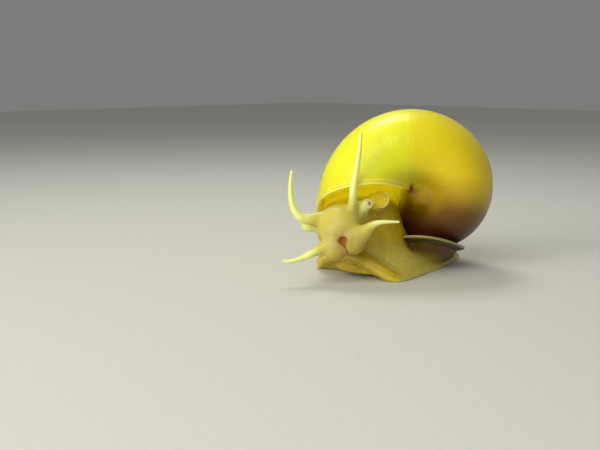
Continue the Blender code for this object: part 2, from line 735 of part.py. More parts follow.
def whole_flesh(home):
    """All the flesh as one smooth body, before it is cut."""
    pieces = [front_margin(home), column(home), opercular_lobe(home), neck(home), mantle_plug(home)]
    body = union(foot_slab(home), pieces + head_blobs(home) + stubs(home), home)
    remesh = body.modifiers.new("remesh", "REMESH")
    remesh.mode = "VOXEL"
    remesh.voxel_size = FLESH_VOXEL * MM
    relax = body.modifiers.new("smooth", "SMOOTH")
    relax.factor = 0.5
    relax.iterations = FLESH_RELAX
    bake(body)
    body.data.calc_loop_triangles()
    fewer = body.modifiers.new("decimate", "DECIMATE")
    fewer.ratio = FLESH_TRIANGLES / len(body.data.loop_triangles)
    return bake(body)


def flesh(home):
    """The flesh with a flat sole and room for the shell, the operculum and what grows from it."""
    body = whole_flesh(home)
    boolean(body, half_space("floor", (0, 0, 0), (0, 0, -1), home))
    boolean(body, last_whorl("wall", GAP, home))
    boolean(body, early_whorl(0, GAP, home))
    boolean(body, operculum("slot", GAP, home))
    cut_roots(body, home)
    root, ahead = siphon_root()
    boolean(body, drum("end", root - ahead * GAP, ahead, *SIPHON_CUTTER, home))
    for place, radii in (MOUTH_OPENING, MOUTH_CLEFT):
        boolean(body, blob("mouth", head_point(*place), radii, head_axes(), home, 16))
    return keep_largest(body)


def divided_flesh(home):
    """The flesh, parted with thin cuts where a person would name its parts."""
    foot = flesh(home)
    made = {"foot_middle": foot}
    point, normal = lip_plane(MANTLE_CUT)
    made["mantle"] = part_by_plane(foot, "mantle", point, -normal, home)
    left, up, ahead = head_axes()
    nape = head_point(*NAPE)
    made["head"] = copy_of(foot, "head", home)
    boolean(made["head"], drum("front", nape, ahead, NAPE_RADIUS, HEAD_REACH, home), "INTERSECT")
    boolean(foot, drum("front", nape - ahead * GAP, ahead, NAPE_RADIUS + GAP, HEAD_REACH, home))
    keep_largest(made["head"])
    keep_largest(foot)
    lean = math.radians(SNOUT_LEAN)
    facing = ahead * math.cos(lean) - up * math.sin(lean)
    made["snout"] = part_by_plane(made["head"], "snout", head_point(*SNOUT_ROOT), facing, home)
    made["tail"] = part_by_plane(foot, "tail", (0, TAIL_CUT, 0), (0, 1, 0), home)
    made["neck"] = part_by_plane(foot, "neck", (0, 0, FOOT_CUT_HEIGHT), (0, FOOT_CUT_SLOPE, 1), home)
    made["foot_front"] = part_by_plane(foot, "foot_front", (0, FRONT_CUT, 0), (0, -1, 0), home)
    return made


# The build

def hang_on_root(parts):
    """Hangs the parts on one empty, moved so that the origin is under the middle of the whole."""
    meshes = [obj for obj in parts.objects if obj.type == "MESH"]
    corners = np.array([vertex.co for obj in meshes for vertex in obj.data.vertices])
    low, high = corners.min(axis=0), corners.max(axis=0)
    root = new_object("snail_root", None, parts)
    root.location = (-(low[0] + high[0]) / 2, -(low[1] + high[1]) / 2, -low[2])
    for obj in meshes:
        obj.parent = root


def build():
    clear_scene()
    parts = new_collection(PARTS)
    work = new_collection("workshop")
    skin, dark = material("skin_cream"), material("eye_dark")
    for name, piece in {**divided_flesh(work), **feelers(work), "siphon": siphon(work)}.items():
        finish(piece, name, skin, parts)
    for side, place in (("left", EYE_LEFT), ("right", EYE_RIGHT)):
        boolean(bpy.data.objects[f"eye_stalk_{side}"], eye("socket", place, GAP, work))
        finish(eye("ball", place, 0.0, work), f"eye_{side}", dark, parts)
    finish(shell(work), "shell", material("shell_yellow"), parts)
    finish(keep_largest(operculum("operculum", 0.0, work)), "operculum", material("operculum_horn"), parts)
    hang_on_root(parts)


build()
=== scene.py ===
"""An apple snail, crawling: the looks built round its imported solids.

The snail faces -Y with its left side at +X. Each section gives its sizes in the snail's own millimetres.
"""

import math

import bmesh
import bpy
import numpy as np
from mathutils import Matrix, Vector, noise


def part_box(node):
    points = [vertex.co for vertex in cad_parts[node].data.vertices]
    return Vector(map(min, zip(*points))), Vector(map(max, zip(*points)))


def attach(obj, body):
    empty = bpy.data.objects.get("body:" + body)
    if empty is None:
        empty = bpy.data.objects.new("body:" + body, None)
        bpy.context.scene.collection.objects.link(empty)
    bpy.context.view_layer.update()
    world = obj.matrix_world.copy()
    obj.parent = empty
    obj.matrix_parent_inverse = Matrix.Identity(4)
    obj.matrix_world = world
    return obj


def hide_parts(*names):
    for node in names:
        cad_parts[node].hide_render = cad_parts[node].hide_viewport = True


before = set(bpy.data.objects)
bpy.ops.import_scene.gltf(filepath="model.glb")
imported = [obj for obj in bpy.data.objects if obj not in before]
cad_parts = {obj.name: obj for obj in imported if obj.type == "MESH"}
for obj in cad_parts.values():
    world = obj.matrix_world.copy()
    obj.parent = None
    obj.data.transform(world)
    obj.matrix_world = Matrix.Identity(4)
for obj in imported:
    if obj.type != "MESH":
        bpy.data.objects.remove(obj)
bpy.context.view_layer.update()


# Eyes
# Each eye is a small wet ball in the tip of its stalk: a clear cornea over a rosy iris with a dark pupil.
# The left one also says where the snail stands in the frame, and the head's directions are set out here.

MM = 0.001
MOUTH = np.array((-1.75, -23.8, 9.6))
HEAD_TURN, HEAD_PITCH, HEAD_ROLL = (math.radians(a) for a in (40.0, 5.0, 20.0))
AHEAD = np.array((math.sin(HEAD_TURN) * math.cos(HEAD_PITCH), -math.cos(HEAD_TURN) * math.cos(HEAD_PITCH),
                  math.sin(HEAD_PITCH)))
LEVEL = np.array((math.cos(HEAD_TURN), math.sin(HEAD_TURN), 0.0))
LEFT = LEVEL * math.cos(HEAD_ROLL) + np.cross(AHEAD, LEVEL) * math.sin(HEAD_ROLL)
UP = np.cross(AHEAD, LEFT)
HEAD = np.array((LEFT, UP, AHEAD))
EYES = {"left": ((7.3, 5.3, -4.25), (0.42, 0.12, 0.9)), "right": ((-6.8, 4.95, -7.6), (-0.6, 0.1, 0.79))}
EYE_RADIUS = 0.7


def on_head(place):
    """From left, up and ahead on the head to the snail's own place."""
    return MOUTH + np.asarray(place) @ HEAD


STANDS = np.array(sum(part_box("eye_left"), Vector()) / 2) - on_head(EYES["left"][0]) * MM


def colour(text):
    """sRGB hex to linear."""
    parts = [int(text[i:i + 2], 16) / 255 for i in (1, 3, 5)]
    return (*(c / 12.92 if c <= 0.04045 else ((c + 0.055) / 1.055) ** 2.4 for c in parts), 1.0)


def add(tree, kind, sockets=(), stops=(), **settings):
    """A node with its settings, its sockets' values or links, and a ramp's stops."""
    made = tree.nodes.new(kind)
    for key, value in settings.items():
        setattr(made, key, value)
    for socket, value in dict(sockets).items():
        if isinstance(value, bpy.types.NodeSocket):
            tree.links.new(value, made.inputs[socket])
        else:
            made.inputs[socket].default_value = value
    for i, (at, value) in enumerate(stops):
        stop = made.color_ramp.elements[i] if i < 2 else made.color_ramp.elements.new(at)
        stop.position, stop.color = at, colour(value)
    return made


def new_material(name):
    made = bpy.data.materials.new(name)
    made.use_nodes = True
    made.node_tree.nodes.clear()
    return made, made.node_tree


def mesh_of(name, points, faces):
    """An object from points in the snail's millimetres."""
    made = bpy.data.meshes.new(name)
    made.from_pydata((np.asarray(points) * MM + STANDS).tolist(), [], faces)
    made.shade_smooth()
    obj = bpy.data.objects.new(name, made)
    bpy.context.scene.collection.objects.link(obj)
    return obj


def rings_of(rings):
    """Points and faces of a closed body through rings of points, its faces turned outwards."""
    rings = np.asarray(rings, float)
    rows, sides = rings.shape[:2]
    points = np.vstack([rings.reshape(-1, 3), rings[[0, -1]].mean(axis=1)])
    index = np.arange(rows * sides).reshape(rows, sides)
    after = np.roll(index, -1, axis=1)
    walls = np.stack([index[:-1], after[:-1], after[1:], index[1:]], axis=-1).reshape(-1, 4)
    ends = np.vstack([np.stack([np.full(sides, rows * sides), after[0], index[0]], axis=-1),
                      np.stack([np.full(sides, rows * sides + 1), index[-1], after[-1]], axis=-1)])
    around = points - points.mean(axis=0)
    corners = np.vstack([walls[:, [0, 1, 2]], walls[:, [0, 2, 3]], ends])
    volume = np.sum(around[corners[:, 0]] * np.cross(around[corners[:, 1]], around[corners[:, 2]]))
    turn = slice(None, None, -1 if volume < 0 else 1)
    return points, walls[:, turn].tolist() + ends[:, turn].tolist()


def ball(middle, radii, axes=HEAD, sides=32):
    """An ellipsoid with its radii along the given directions."""
    rings = []
    for high in np.radians(np.linspace(2, 178, sides // 2)):
        round_it = np.arange(sides) * 2 * math.pi / sides
        unit = np.stack([np.sin(high) * np.cos(round_it), np.sin(high) * np.sin(round_it),
                         np.full(sides, np.cos(high))], axis=-1)
        rings.append(np.asarray(middle) + (unit * np.asarray(radii)) @ np.asarray(axes))
    return rings_of(rings)


def paint(obj, name, values):
    """Keeps a number for each point, which a material reads."""
    kept = obj.data.attributes.new(name, "FLOAT", "POINT")
    kept.data.foreach_set("value", np.asarray(values, np.float32))


def places(obj):
    """An object's points in the snail's millimetres."""
    points = np.empty(len(obj.data.vertices) * 3, np.float32)
    obj.data.vertices.foreach_get("co", points)
    return (points.reshape(-1, 3).astype(float) - STANDS) / MM

def eye_axes(looks):
    """The directions to an eye's side, across it and ahead of it."""
    ahead = np.asarray(looks) / np.linalg.norm(looks) @ HEAD
    side = np.cross(ahead, UP)
    side /= np.linalg.norm(side)
    return np.array((side, np.cross(side, ahead), ahead))


# Wet cornea: clear and mirror-smooth over a coloured iris, so a sharp highlight sits on a soft rosy ball.
# The gaze value is 1 at the middle of the pupil and falls to 0 at the ball's rim.
cornea, tree = new_material("wet_cornea")
gaze = add(tree, "ShaderNodeAttribute", attribute_name="gaze")
fleck = add(tree, "ShaderNodeTexNoise", {"Scale": 2600.0, "Detail": 3.0})
spread = add(tree, "ShaderNodeMath", {0: fleck.outputs["Fac"], 1: 0.16, 2: gaze.outputs["Fac"]},
             operation="MULTIPLY_ADD")
iris = add(tree, "ShaderNodeValToRGB", {"Fac": spread.outputs[0]},
           [(0.0, "#EFE2B4"), (0.66, "#EAD3A6"), (0.84, "#DDB596"), (0.95, "#CBA093"), (1.0, "#AC827E")])
shader = add(tree, "ShaderNodeBsdfPrincipled", {
    "Base Color": iris.outputs["Color"], "Roughness": 0.12, "IOR": 1.38, "Coat Weight": 1.0,
    "Coat Roughness": 0.03, "Coat IOR": 1.38, "Subsurface Weight": 0.25, "Subsurface Scale": 0.0004,
    "Subsurface Radius": (1.0, 0.4, 0.3)})
add(tree, "ShaderNodeOutputMaterial", {"Surface": shader.outputs[0]})

for side, (place, looks) in EYES.items():
    axes = eye_axes(looks)
    eyeball = mesh_of(f"eyeball_{side}", *ball(on_head(place), (EYE_RADIUS,) * 3, axes, 48))
    paint(eyeball, "gaze", (places(eyeball) - on_head(place)) @ axes[2] / EYE_RADIUS)
    eyeball.data.materials.append(cornea)
    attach(eyeball, "root")
    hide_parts(f"eye_{side}")


# Shell
# A thin coiled tube of lime under a clear horny skin, laid down line by line at the lip, so it shines like
# glaze and its growth lines run with the lip. The newest part is pale lemon and the older whorls are golden.

APEX = np.array((-11.9, 21.7, 14.6))
AXIS_TURN, AXIS_TILT = math.radians(28.0), math.radians(7.5)
AXIS = np.array((math.sin(AXIS_TURN) * math.cos(AXIS_TILT), -math.cos(AXIS_TURN) * math.cos(AXIS_TILT),
                 math.sin(AXIS_TILT)))
ACROSS = np.array((math.cos(AXIS_TURN), math.sin(AXIS_TURN), 0.0))
BACK = np.cross(AXIS, ACROSS)
GROWTH = 2.0                       # size ratio from one whorl to the next
START_TURN = 191.0                 # degrees round the axis where the tube has its full size
SECTION_MIDDLE = (10.6, 27.5)      # distance from the axis and height above the apex
SECTION_OUT, SECTION_IN, SECTION_TOP, SECTION_BASE = 11.4, 10.05, 14.3, 14.1
SHOULDER_POWER, BASE_POWER, INNER_POWER = 2.5, 2.15, 2.4
WALL = 0.9
LIP_NORMAL = -BACK + 0.22 * ACROSS + 0.36 * AXIS
LIP_OFFSET = 11.4
LIP_FLARE = 0.35
LIP_EDGE = ((0.06, -0.1), (0.07, 0.1), (0.0, 0.26), (-0.14, 0.3), (-0.25, 0.1), (-0.42, -0.02), (-0.57, 0.1),
            (-0.68, 0.26), (-0.82, 0.24), (-0.9, 0.05))     # rises and distances ahead, from outside to inside
CAVITY_STOP = -62.0                # degrees round the axis
WHORL_ENDS = (-290.0, -625.0, -960.0, -1295.0, -1630.0)
OVERLAP = 10.0
SHELL_VOXEL = 0.17
COLUMELLA = np.array((             # places and radii of balls, whose hull is the callus
    (0.4, -3.9, 18.2, 2.1), (-4.2, 0.9, 14.2, 2.0), (-0.9, 1.6, 16.4, 2.0),
    (0.3, -0.2, 18.2, 1.9), (2.6, 1.5, 17.4, 1.8), (1.7, 1.8, 14.6, 1.9)))
COLUMELLA_LINES = ((0, 1), (0, 2), (0, 3), (1, 2), (2, 3), (2, 4), (3, 4), (1, 5), (4, 5))     # first the inner lip
CALLUS_BLEND, CALLUS_ROUNDS = (4.2, 7.0), 280      # how far from its lines it flows into the whorl
GROWTH_WAVES = ((6.0, 0.008), (23.0, 0.014))       # lengths in degrees, with their heights
OLD_LIP, OLD_LIP_RISE = (92.0, 93.5, 110.0), 0.03  # a step left by an earlier lip, in degrees of age
LIP_LINE_BACK, LIP_LINE_WIDTH, LIP_LINE_RISE = 0.85, 0.16, 0.05
PIT = np.array((1.9, -6.0, 18.95))                 # the umbilicus
PIT_RADIUS, PIT_DEPTH = 0.85, 0.4
STAIN_AND_SHADE_AT = np.array((-3.0, -0.3, 11.5))            # the brown stain on the base, deepened by painted shade towards the underside
STAIN_AND_SHADE_HEIGHT, STAIN_AND_SHADE_REACH = (9.0, 23.0), (14.0, 34.0)      # full at the first and none at the second
STAIN_AND_SHADE_FALL = 0.2                                   # how much lower it ends for each millimetre to the left
STREAK = np.array(((-2.9, -0.2, 11.7), (-1.8, -1.6, 14.2), (0.7, -4.8, 17.0), (2.0, -5.3, 19.2)))
STREAK_WIDTH, STREAK_SHARE = 1.6, 0.7              # red-brown, partly the shell's own colour and partly painted shade in the hollow, from the umbilicus down to the stain


def tube_point(turn, around, grow=0.0):
    """Places on the tube, from degrees round the axis and radians round the section."""
    turn, around = np.broadcast_arrays(turn, around)
    scale = GROWTH ** (turn / 360)
    c, s = np.cos(around), np.sin(around)
    power = np.where(c < 0, INNER_POWER, np.where(s < 0, SHOULDER_POWER, BASE_POWER))
    out = np.where(c > 0, SECTION_OUT, SECTION_IN) + grow / scale
    along = np.where(s > 0, SECTION_BASE, SECTION_TOP) + grow / scale
    radius = SECTION_MIDDLE[0] + out * np.sign(c) * np.abs(c) ** (2 / power)
    height = SECTION_MIDDLE[1] + along * np.sign(s) * np.abs(s) ** (2 / power)
    spin = np.radians(START_TURN + turn)
    away = np.cos(spin)[..., None] * ACROSS + np.sin(spin)[..., None] * BACK
    return APEX + scale[..., None] * (radius[..., None] * away + height[..., None] * AXIS)


lip_ahead = LIP_NORMAL / np.linalg.norm(LIP_NORMAL)


def lip_turn(around, offset=LIP_OFFSET):
    """Where the tube meets the plane of the lip, in degrees round the axis."""
    turns = np.arange(-40.0, 110.0, 0.5)
    far = (tube_point(turns[:, None], around[None, :]) - APEX) @ LIP_NORMAL - offset
    first = (far > 0).argmax(axis=0)
    cols = np.arange(len(around))
    low, high = far[first - 1, cols], far[first, cols]
    return turns[first] - 0.5 * high / (high - low)


def ripple(at, seed, sizes):
    """Smooth uneven waves along a line: each size is a wavelength with its height."""
    rng = np.random.default_rng(seed)
    total = np.zeros_like(at)
    for length, height in sizes:
        for share in (0.83, 1.0, 1.27):
            total += height / 2 * np.sin(2 * math.pi * at / (length * share) + rng.uniform(0, 2 * math.pi))
    return total


def bake(obj):
    """Applies an object's modifiers to its mesh."""
    made = bpy.data.meshes.new_from_object(obj.evaluated_get(bpy.context.evaluated_depsgraph_get()))
    made.materials.clear()
    obj.modifiers.clear()
    obj.data = made
    return obj


def combine(base, others, operation="UNION"):
    """Joins closed bodies to a base or cuts them from it, and removes them."""
    for other in others:
        change = base.modifiers.new("change", "BOOLEAN")
        change.operation, change.solver, change.object = operation, "MANIFOLD", other
        bake(base)
        bpy.data.objects.remove(other)


def shell_body(name, sides, step, grow=0.0):
    """The last whorl as a cup: outside, the rolled edge of the lip, and the hollow behind it."""
    around = (np.arange(sides) + 0.5) * 2 * math.pi / sides
    lip = lip_turn(around)
    behind = np.arange(-WHORL_ENDS[0], 0.0, -step)
    outwards = tube_point(lip, around) - tube_point(lip, around, -8.0)
    outwards /= np.linalg.norm(outwards, axis=1)[:, None]
    flare = LIP_FLARE * np.clip(1 - behind / 12, 0, 1)[:, None, None] ** 2
    outside = tube_point(lip[None, :] - behind[:, None], around[None, :], grow) + outwards * flare
    edge = [tube_point(lip, around, grow + rise) + outwards * LIP_FLARE + lip_ahead * (ahead + grow)
            for rise, ahead in LIP_EDGE]
    inside = [tube_point(CAVITY_STOP + (lip - CAVITY_STOP) * share, around, -WALL - grow)
              + outwards * LIP_FLARE * share ** 8 for share in np.linspace(1.0, 0.0, round(90 / step))[1:]]
    return mesh_of(name, *rings_of([*outside, *edge, *inside]))


def shell_length(name, number, sides, step, grow=0.0):
    """A length of the earlier whorls, counted back from the last."""
    around = (np.arange(sides) + 0.5) * 2 * math.pi / sides
    start, stop = WHORL_ENDS[number + 1], WHORL_ENDS[number] + OVERLAP
    turns = np.linspace(start, stop, round((stop - start) / step))
    return mesh_of(name, *rings_of(tube_point(lip_turn(around)[None, :] + turns[:, None], around[None, :], grow)))


shell = shell_body("shell_coil", 160, 1.0)
combine(shell, [shell_length("whorl", number, round(140 * 0.6 ** number), 1.2 / 0.6 ** number, -0.012 * (number + 1))
                for number in range(4)])


def smooth_path(rows, steps):
    """Points on a curve through rows of place and radius."""
    rows = np.asarray(rows, float)
    rows = np.vstack([2 * rows[0] - rows[1], rows, 2 * rows[-1] - rows[-2]])
    made = []
    for a, b, c, d in zip(rows, rows[1:], rows[2:], rows[3:]):
        for t in np.arange(steps) / steps:
            made.append(0.5 * (2 * b + (c - a) * t + (2 * a - 5 * b + 4 * c - d) * t ** 2
                               + (3 * b - a - 3 * c + d) * t ** 3))
    return np.array([*made, rows[-2]])


def tube(path, sides=24):
    """Points and faces of a round tube along rows of place and radius."""
    path = np.asarray(path, float)
    ahead = np.gradient(path[:, :3], axis=0)
    ahead /= np.linalg.norm(ahead, axis=1)[:, None]
    round_it = np.arange(sides) * 2 * math.pi / sides
    side = np.roll(ahead[0], 1)
    rings = []
    for row, along in zip(path, ahead):
        side = side - along * (side @ along)
        side /= np.linalg.norm(side)
        up = np.cross(along, side)
        rings.append(row[:3] + row[3] * (np.cos(round_it)[:, None] * side + np.sin(round_it)[:, None] * up))
    return rings_of(rings)


def step_of(at, low, high):
    """0 before low, 1 after high, and smooth between them."""
    share = np.clip((at - low) / (high - low), 0, 1)
    return share * share * (3 - 2 * share)


def draw_tight(obj, voxel, rounds):
    """Makes one even surface round all the bodies of a mesh and relaxes it."""
    remesh = obj.modifiers.new("remesh", "REMESH")
    remesh.mode, remesh.voxel_size = "VOXEL", voxel * MM
    relax = obj.modifiers.new("relax", "SMOOTH")
    relax.factor, relax.iterations = 0.5, rounds
    return bake(obj)


def relax_where(obj, share, rounds):
    """Relaxes a mesh by a share at each point."""
    group = obj.vertex_groups.new(name="relax")
    for index in np.nonzero(share > 0.01)[0].tolist():
        group.add([index], float(share[index]), "REPLACE")
    relax = obj.modifiers.new("relax", "SMOOTH")
    relax.factor, relax.iterations, relax.vertex_group = 0.5, rounds, "relax"
    bake(obj)
    obj.vertex_groups.clear()


def normals_of(obj):
    made = np.empty(len(obj.data.vertices) * 3, np.float32)
    obj.data.vertex_normals.foreach_get("vector", made)
    return made.reshape(-1, 3).astype(float)


def move_to(obj, points):
    obj.data.vertices.foreach_set("co", (points * MM + STANDS).astype(np.float32).ravel())
    obj.data.update()


def columella(grow=0.0):
    """The callus drawn over the umbilicus, from the inner lip down to the older whorl."""
    hull = bmesh.new()
    for row in COLUMELLA:
        for point in ball(row[:3], (row[3] + grow,) * 3, np.eye(3))[0]:
            hull.verts.new(point)
    inner = bmesh.ops.convex_hull(hull, input=hull.verts)["geom_interior"]
    bmesh.ops.delete(hull, geom=[part for part in inner if isinstance(part, bmesh.types.BMVert)], context="VERTS")
    bmesh.ops.recalc_face_normals(hull, faces=hull.faces)
    hull.verts.index_update()
    made = mesh_of("columella", [tuple(v.co) for v in hull.verts], [[v.index for v in f.verts] for f in hull.faces])
    hull.free()
    return made


core = [np.append(APEX + AXIS * at, radius) for at, radius in ((2.0, 0.3), (23.9, 1.0))]
combine(shell, [mesh_of("core", *tube(core)), mesh_of("nucleus", *ball(APEX + AXIS * 1.3, (0.9,) * 3, np.eye(3))),
                columella()])
draw_tight(shell, SHELL_VOXEL, 2)


def shell_chart(points, near):
    """Degrees round the axis, radians round the section and size there, on the whorl nearest to a guessed turn."""
    flat = points - APEX
    high, x, y = flat @ AXIS, flat @ ACROSS, flat @ BACK
    turn = np.degrees(np.arctan2(y, x)) - START_TURN
    turn += 360 * np.round((near - turn) / 360)
    scale = GROWTH ** (turn / 360)
    across, along = np.hypot(x, y) / scale - SECTION_MIDDLE[0], high / scale - SECTION_MIDDLE[1]
    power = np.where(across < 0, INNER_POWER, np.where(along < 0, SHOULDER_POWER, BASE_POWER))
    across = across / np.where(across > 0, SECTION_OUT, SECTION_IN)
    along = along / np.where(along > 0, SECTION_BASE, SECTION_TOP)
    c = np.sign(across) * np.abs(across) ** (power / 2)
    s = np.sign(along) * np.abs(along) ** (power / 2)
    size = (np.abs(across) ** power + np.abs(along) ** power) ** (1 / power)
    return turn, np.arctan2(s, c), size


def chart_shell(points):
    """The whorl, section angle and depth in millimetres that fit each point best."""
    kept = [np.zeros(len(points)), np.zeros(len(points)), np.full(len(points), 99.0)]
    for near in (-1540.0, -1180.0, -820.0, -460.0, -100.0, 80.0):
        turn, around, size = shell_chart(points, np.full(len(points), near))
        off = (size - 1) * 12 * GROWTH ** (turn / 360)
        fits = (np.abs(off) < np.abs(kept[2])) & (turn < 78)
        for old, new in zip(kept, (turn, around, off)):
            old[fits] = new[fits]
    return kept


points = places(shell)
turn, around, off = chart_shell(points)
table = np.linspace(-math.pi, math.pi, 361)
lip_there = np.interp(around, table, lip_turn(table))
behind = lip_there - turn
scale = GROWTH ** (turn / 360)
navel = np.full(len(points), 99.0)
for first, second in COLUMELLA_LINES:
    run = COLUMELLA[second, :3] - COLUMELLA[first, :3]
    share = np.clip((points - COLUMELLA[first, :3]) @ run / (run @ run), 0, 1)
    navel = np.minimum(navel, np.linalg.norm(points - COLUMELLA[first, :3] - share[:, None] * run, axis=1))
    if second == 1:
        inner_lip = navel
outside = (np.abs(off) < 0.22 * scale + 0.03) & (behind > 12)
exact = tube_point(turn, around)
snap = outside * step_of(behind, 12, 20) * step_of(navel, 4.0, 7.0)
points += (exact - points) * snap[:, None]
move_to(shell, points)
relax_where(shell, 1 - step_of(navel, *CALLUS_BLEND), CALLUS_ROUNDS)
relax_where(shell, 1 - step_of(np.abs(behind), 3.0, 7.0), 14)
points, normals = places(shell), normals_of(shell)

# Lines of growth run round the axis on the older shell and with the lip on the newest
newest = np.clip(1 - behind / 80, 0, 1) ** 2
age = behind * newest - turn * (1 - newest)
relief = ripple(age, 4, GROWTH_WAVES)
relief += OLD_LIP_RISE * (step_of(age, *OLD_LIP[:2]) - step_of(age, *OLD_LIP[1:]))
points += normals * (relief * scale * outside * step_of(navel, 3.0, 14.0))[:, None]
pit = np.exp(-(np.linalg.norm(points - PIT, axis=1) / PIT_RADIUS) ** 4)
points -= normals * (pit * PIT_DEPTH)[:, None]
ahead = points @ lip_ahead - LIP_OFFSET / np.linalg.norm(LIP_NORMAL) - APEX @ lip_ahead
line = np.exp(-((ahead + LIP_LINE_BACK) / LIP_LINE_WIDTH) ** 2) * (np.abs(off) < 0.5)
points += normals * (LIP_LINE_RISE * line * step_of(navel, 3.0, 6.0))[:, None]
move_to(shell, points)

# What the colours follow: the lip, the age, the inside, the stain deepened by painted shade on the base, and the
# umbilicus, its dark spot painted shade, with the streak below it, partly painted shade
lip_tone = (0.45 * line + 0.5 * step_of(ahead, -0.4, 0.2) * (off > -0.7)) * (behind < 30)
paint(shell, "lip", lip_tone * step_of(navel, 3.5, 6.0))
paint(shell, "age", age)
paint(shell, "around", around)
paint(shell, "inside", ((off < -0.45) & (behind < 80)) * step_of(navel, 3.0, 3.8))
# The brown stain is partly the shell's own colour and partly painted shade: it darkens the shell towards its base
# and underside.
high = points[:, 2]
sideways = (points - STAIN_AND_SHADE_AT) @ (0.71, 0.70, 0.0)
stain_and_shade_top = STAIN_AND_SHADE_HEIGHT[1] - STAIN_AND_SHADE_FALL * (np.maximum(sideways, -1.0) - 6.0)
stain_and_shade_tone = np.clip((stain_and_shade_top - high) / np.ptp(STAIN_AND_SHADE_HEIGHT), 0, 1) * step_of(sideways, -14.0, -4.0)
stain_and_shade_tone *= 1 - step_of(np.linalg.norm(points - STAIN_AND_SHADE_AT, axis=1), *STAIN_AND_SHADE_REACH)
stain_and_shade_tone *= step_of(points @ (0.70, -0.71, 0.0), -17.0, -5.0)
near_navel = 0.28 * (1 - step_of(navel, 2.2, 5.5)) + 0.17 * (1 - step_of(inner_lip, 2.2, 5.5))
paint(shell, "stain_and_shade", stain_and_shade_tone * (1 - near_navel * step_of(high, 10.0, 14.0)))
# The streak below the umbilicus is partly red-brown shell and partly painted shade in its hollow; the dark spot in
# the umbilicus is painted shade.
from_streak = np.hypot(*(points[:, i] - np.interp(high, STREAK[:, 2], STREAK[:, i]) for i in (0, 1)))
streak_and_shade = STREAK_SHARE * np.exp(-(from_streak / STREAK_WIDTH) ** 2)
streak_and_shade *= step_of(high, 10.5, 12.5) * (1 - step_of(high, 18.8, 19.8))
hole_shade = np.exp(-(np.linalg.norm(points - PIT, axis=1) / (PIT_RADIUS * 1.5)) ** 4)
paint(shell, "pit", np.maximum(hole_shade, streak_and_shade))

# Periostracum over aragonite, grown and wet: a soft gloss, with warm light that goes a little way in.
# Growth lines are about 0.4 mm apart in life and are drawn at 0.6 mm so that they show.
glaze, tree = new_material("glossy_periostracum")
old, turned, inner, stain_and_shade, navel_shade_and_streak, lip = (
    add(tree, "ShaderNodeAttribute", attribute_name=name).outputs["Fac"]
    for name in ("age", "around", "inside", "stain_and_shade", "pit", "lip"))
fine_age = add(tree, "ShaderNodeMath", {0: old, 1: 0.55}, operation="MULTIPLY")
chart = add(tree, "ShaderNodeCombineXYZ", {"X": fine_age.outputs[0], "Y": turned})
lines = add(tree, "ShaderNodeTexNoise", {"Vector": chart.outputs[0], "Scale": 1.0, "Detail": 3.0, "Roughness": 0.6})
place = add(tree, "ShaderNodeTexCoord")
clouds = add(tree, "ShaderNodeTexNoise", {"Vector": place.outputs["Object"], "Scale": 90.0, "Detail": 4.0})
years = add(tree, "ShaderNodeMath", {0: old, 1: 1 / 1600}, operation="MULTIPLY")
uneven = add(tree, "ShaderNodeMath", {0: clouds.outputs["Fac"], 1: 0.008, 2: years.outputs[0]},
             operation="MULTIPLY_ADD")
grown_tone = add(tree, "ShaderNodeValToRGB", {"Fac": uneven.outputs[0]},
                 [(0.0, "#E6D20E"), (0.018, "#E9EA22"), (0.058, "#E8E81E"), (0.068, "#EADB10"), (0.12, "#EACC0A"),
                  (0.21, "#E8C008"), (0.6, "#DDB20A"), (1.0, "#C98C12")])
fine = add(tree, "ShaderNodeMapRange", {"Value": lines.outputs["Fac"], "From Min": 0.3, "From Max": 0.7,
                                        "To Min": 0.965, "To Max": 1.02})
lined = add(tree, "ShaderNodeMix", {0: 1.0, 6: grown_tone.outputs["Color"], 7: fine.outputs["Result"]},
            data_type="RGBA", blend_type="MULTIPLY")
# Stain and painted shade: brown, then dark red-brown, deepening towards the shell's base.
brown = add(tree, "ShaderNodeMapRange", {"Value": stain_and_shade, "From Max": 0.6})
dark = add(tree, "ShaderNodeMapRange", {"Value": stain_and_shade, "From Min": 0.35})
tone = lined.outputs[2]
for share, tint in ((brown.outputs["Result"], "#8C6406"), (dark.outputs["Result"], "#4C1E0A"),
                    (inner, "#F0DA28"), (lip, "#F2EE9A"), (navel_shade_and_streak, "#763604")):
    tone = add(tree, "ShaderNodeMix", {0: share, 6: tone, 7: colour(tint)}, data_type="RGBA").outputs[2]
bump = add(tree, "ShaderNodeBump", {"Height": lines.outputs["Fac"], "Strength": 0.3, "Distance": 0.00005})
shader = add(tree, "ShaderNodeBsdfPrincipled", {
    "Base Color": tone, "Roughness": 0.4, "IOR": 1.45, "Coat Weight": 0.12, "Coat Roughness": 0.12,
    "Subsurface Weight": 0.7, "Subsurface Scale": 0.0026, "Subsurface Radius": (1.0, 0.8, 0.08),
    "Normal": bump.outputs[0]})
add(tree, "ShaderNodeOutputMaterial", {"Surface": shader.outputs[0]})
shell.data.materials.append(glaze)
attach(shell, "root")
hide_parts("shell")


# Operculum
# The door of the shell: a thin plate of horn that grows in rings round a point near its inner edge.
# It is carried on the back of the tail, with its outer face down the slope of the foot.

PLATE_CENTRE = (-1.5, 5.0, 3.9)
PLATE_HALF = (10.4, 8.0)
PLATE_TURN = math.radians(20.0)
PLATE_SLOPE = (0.16, -0.25)
PLATE_DISH, PLATE_REACH, PLATE_THICK = 1.8, 9.5, 0.6
RING_RISE, RING_TURN = 0.03, 62.0      # the relief of its rings, and radians from the centre to the rim

def plate_height(dx, dy):
    """The height of the plate's upper side at a distance from its centre."""
    return (PLATE_CENTRE[2] + PLATE_SLOPE[0] * dx + PLATE_SLOPE[1] * dy
            + PLATE_DISH * (dx * dx + dy * dy) / PLATE_REACH ** 2)


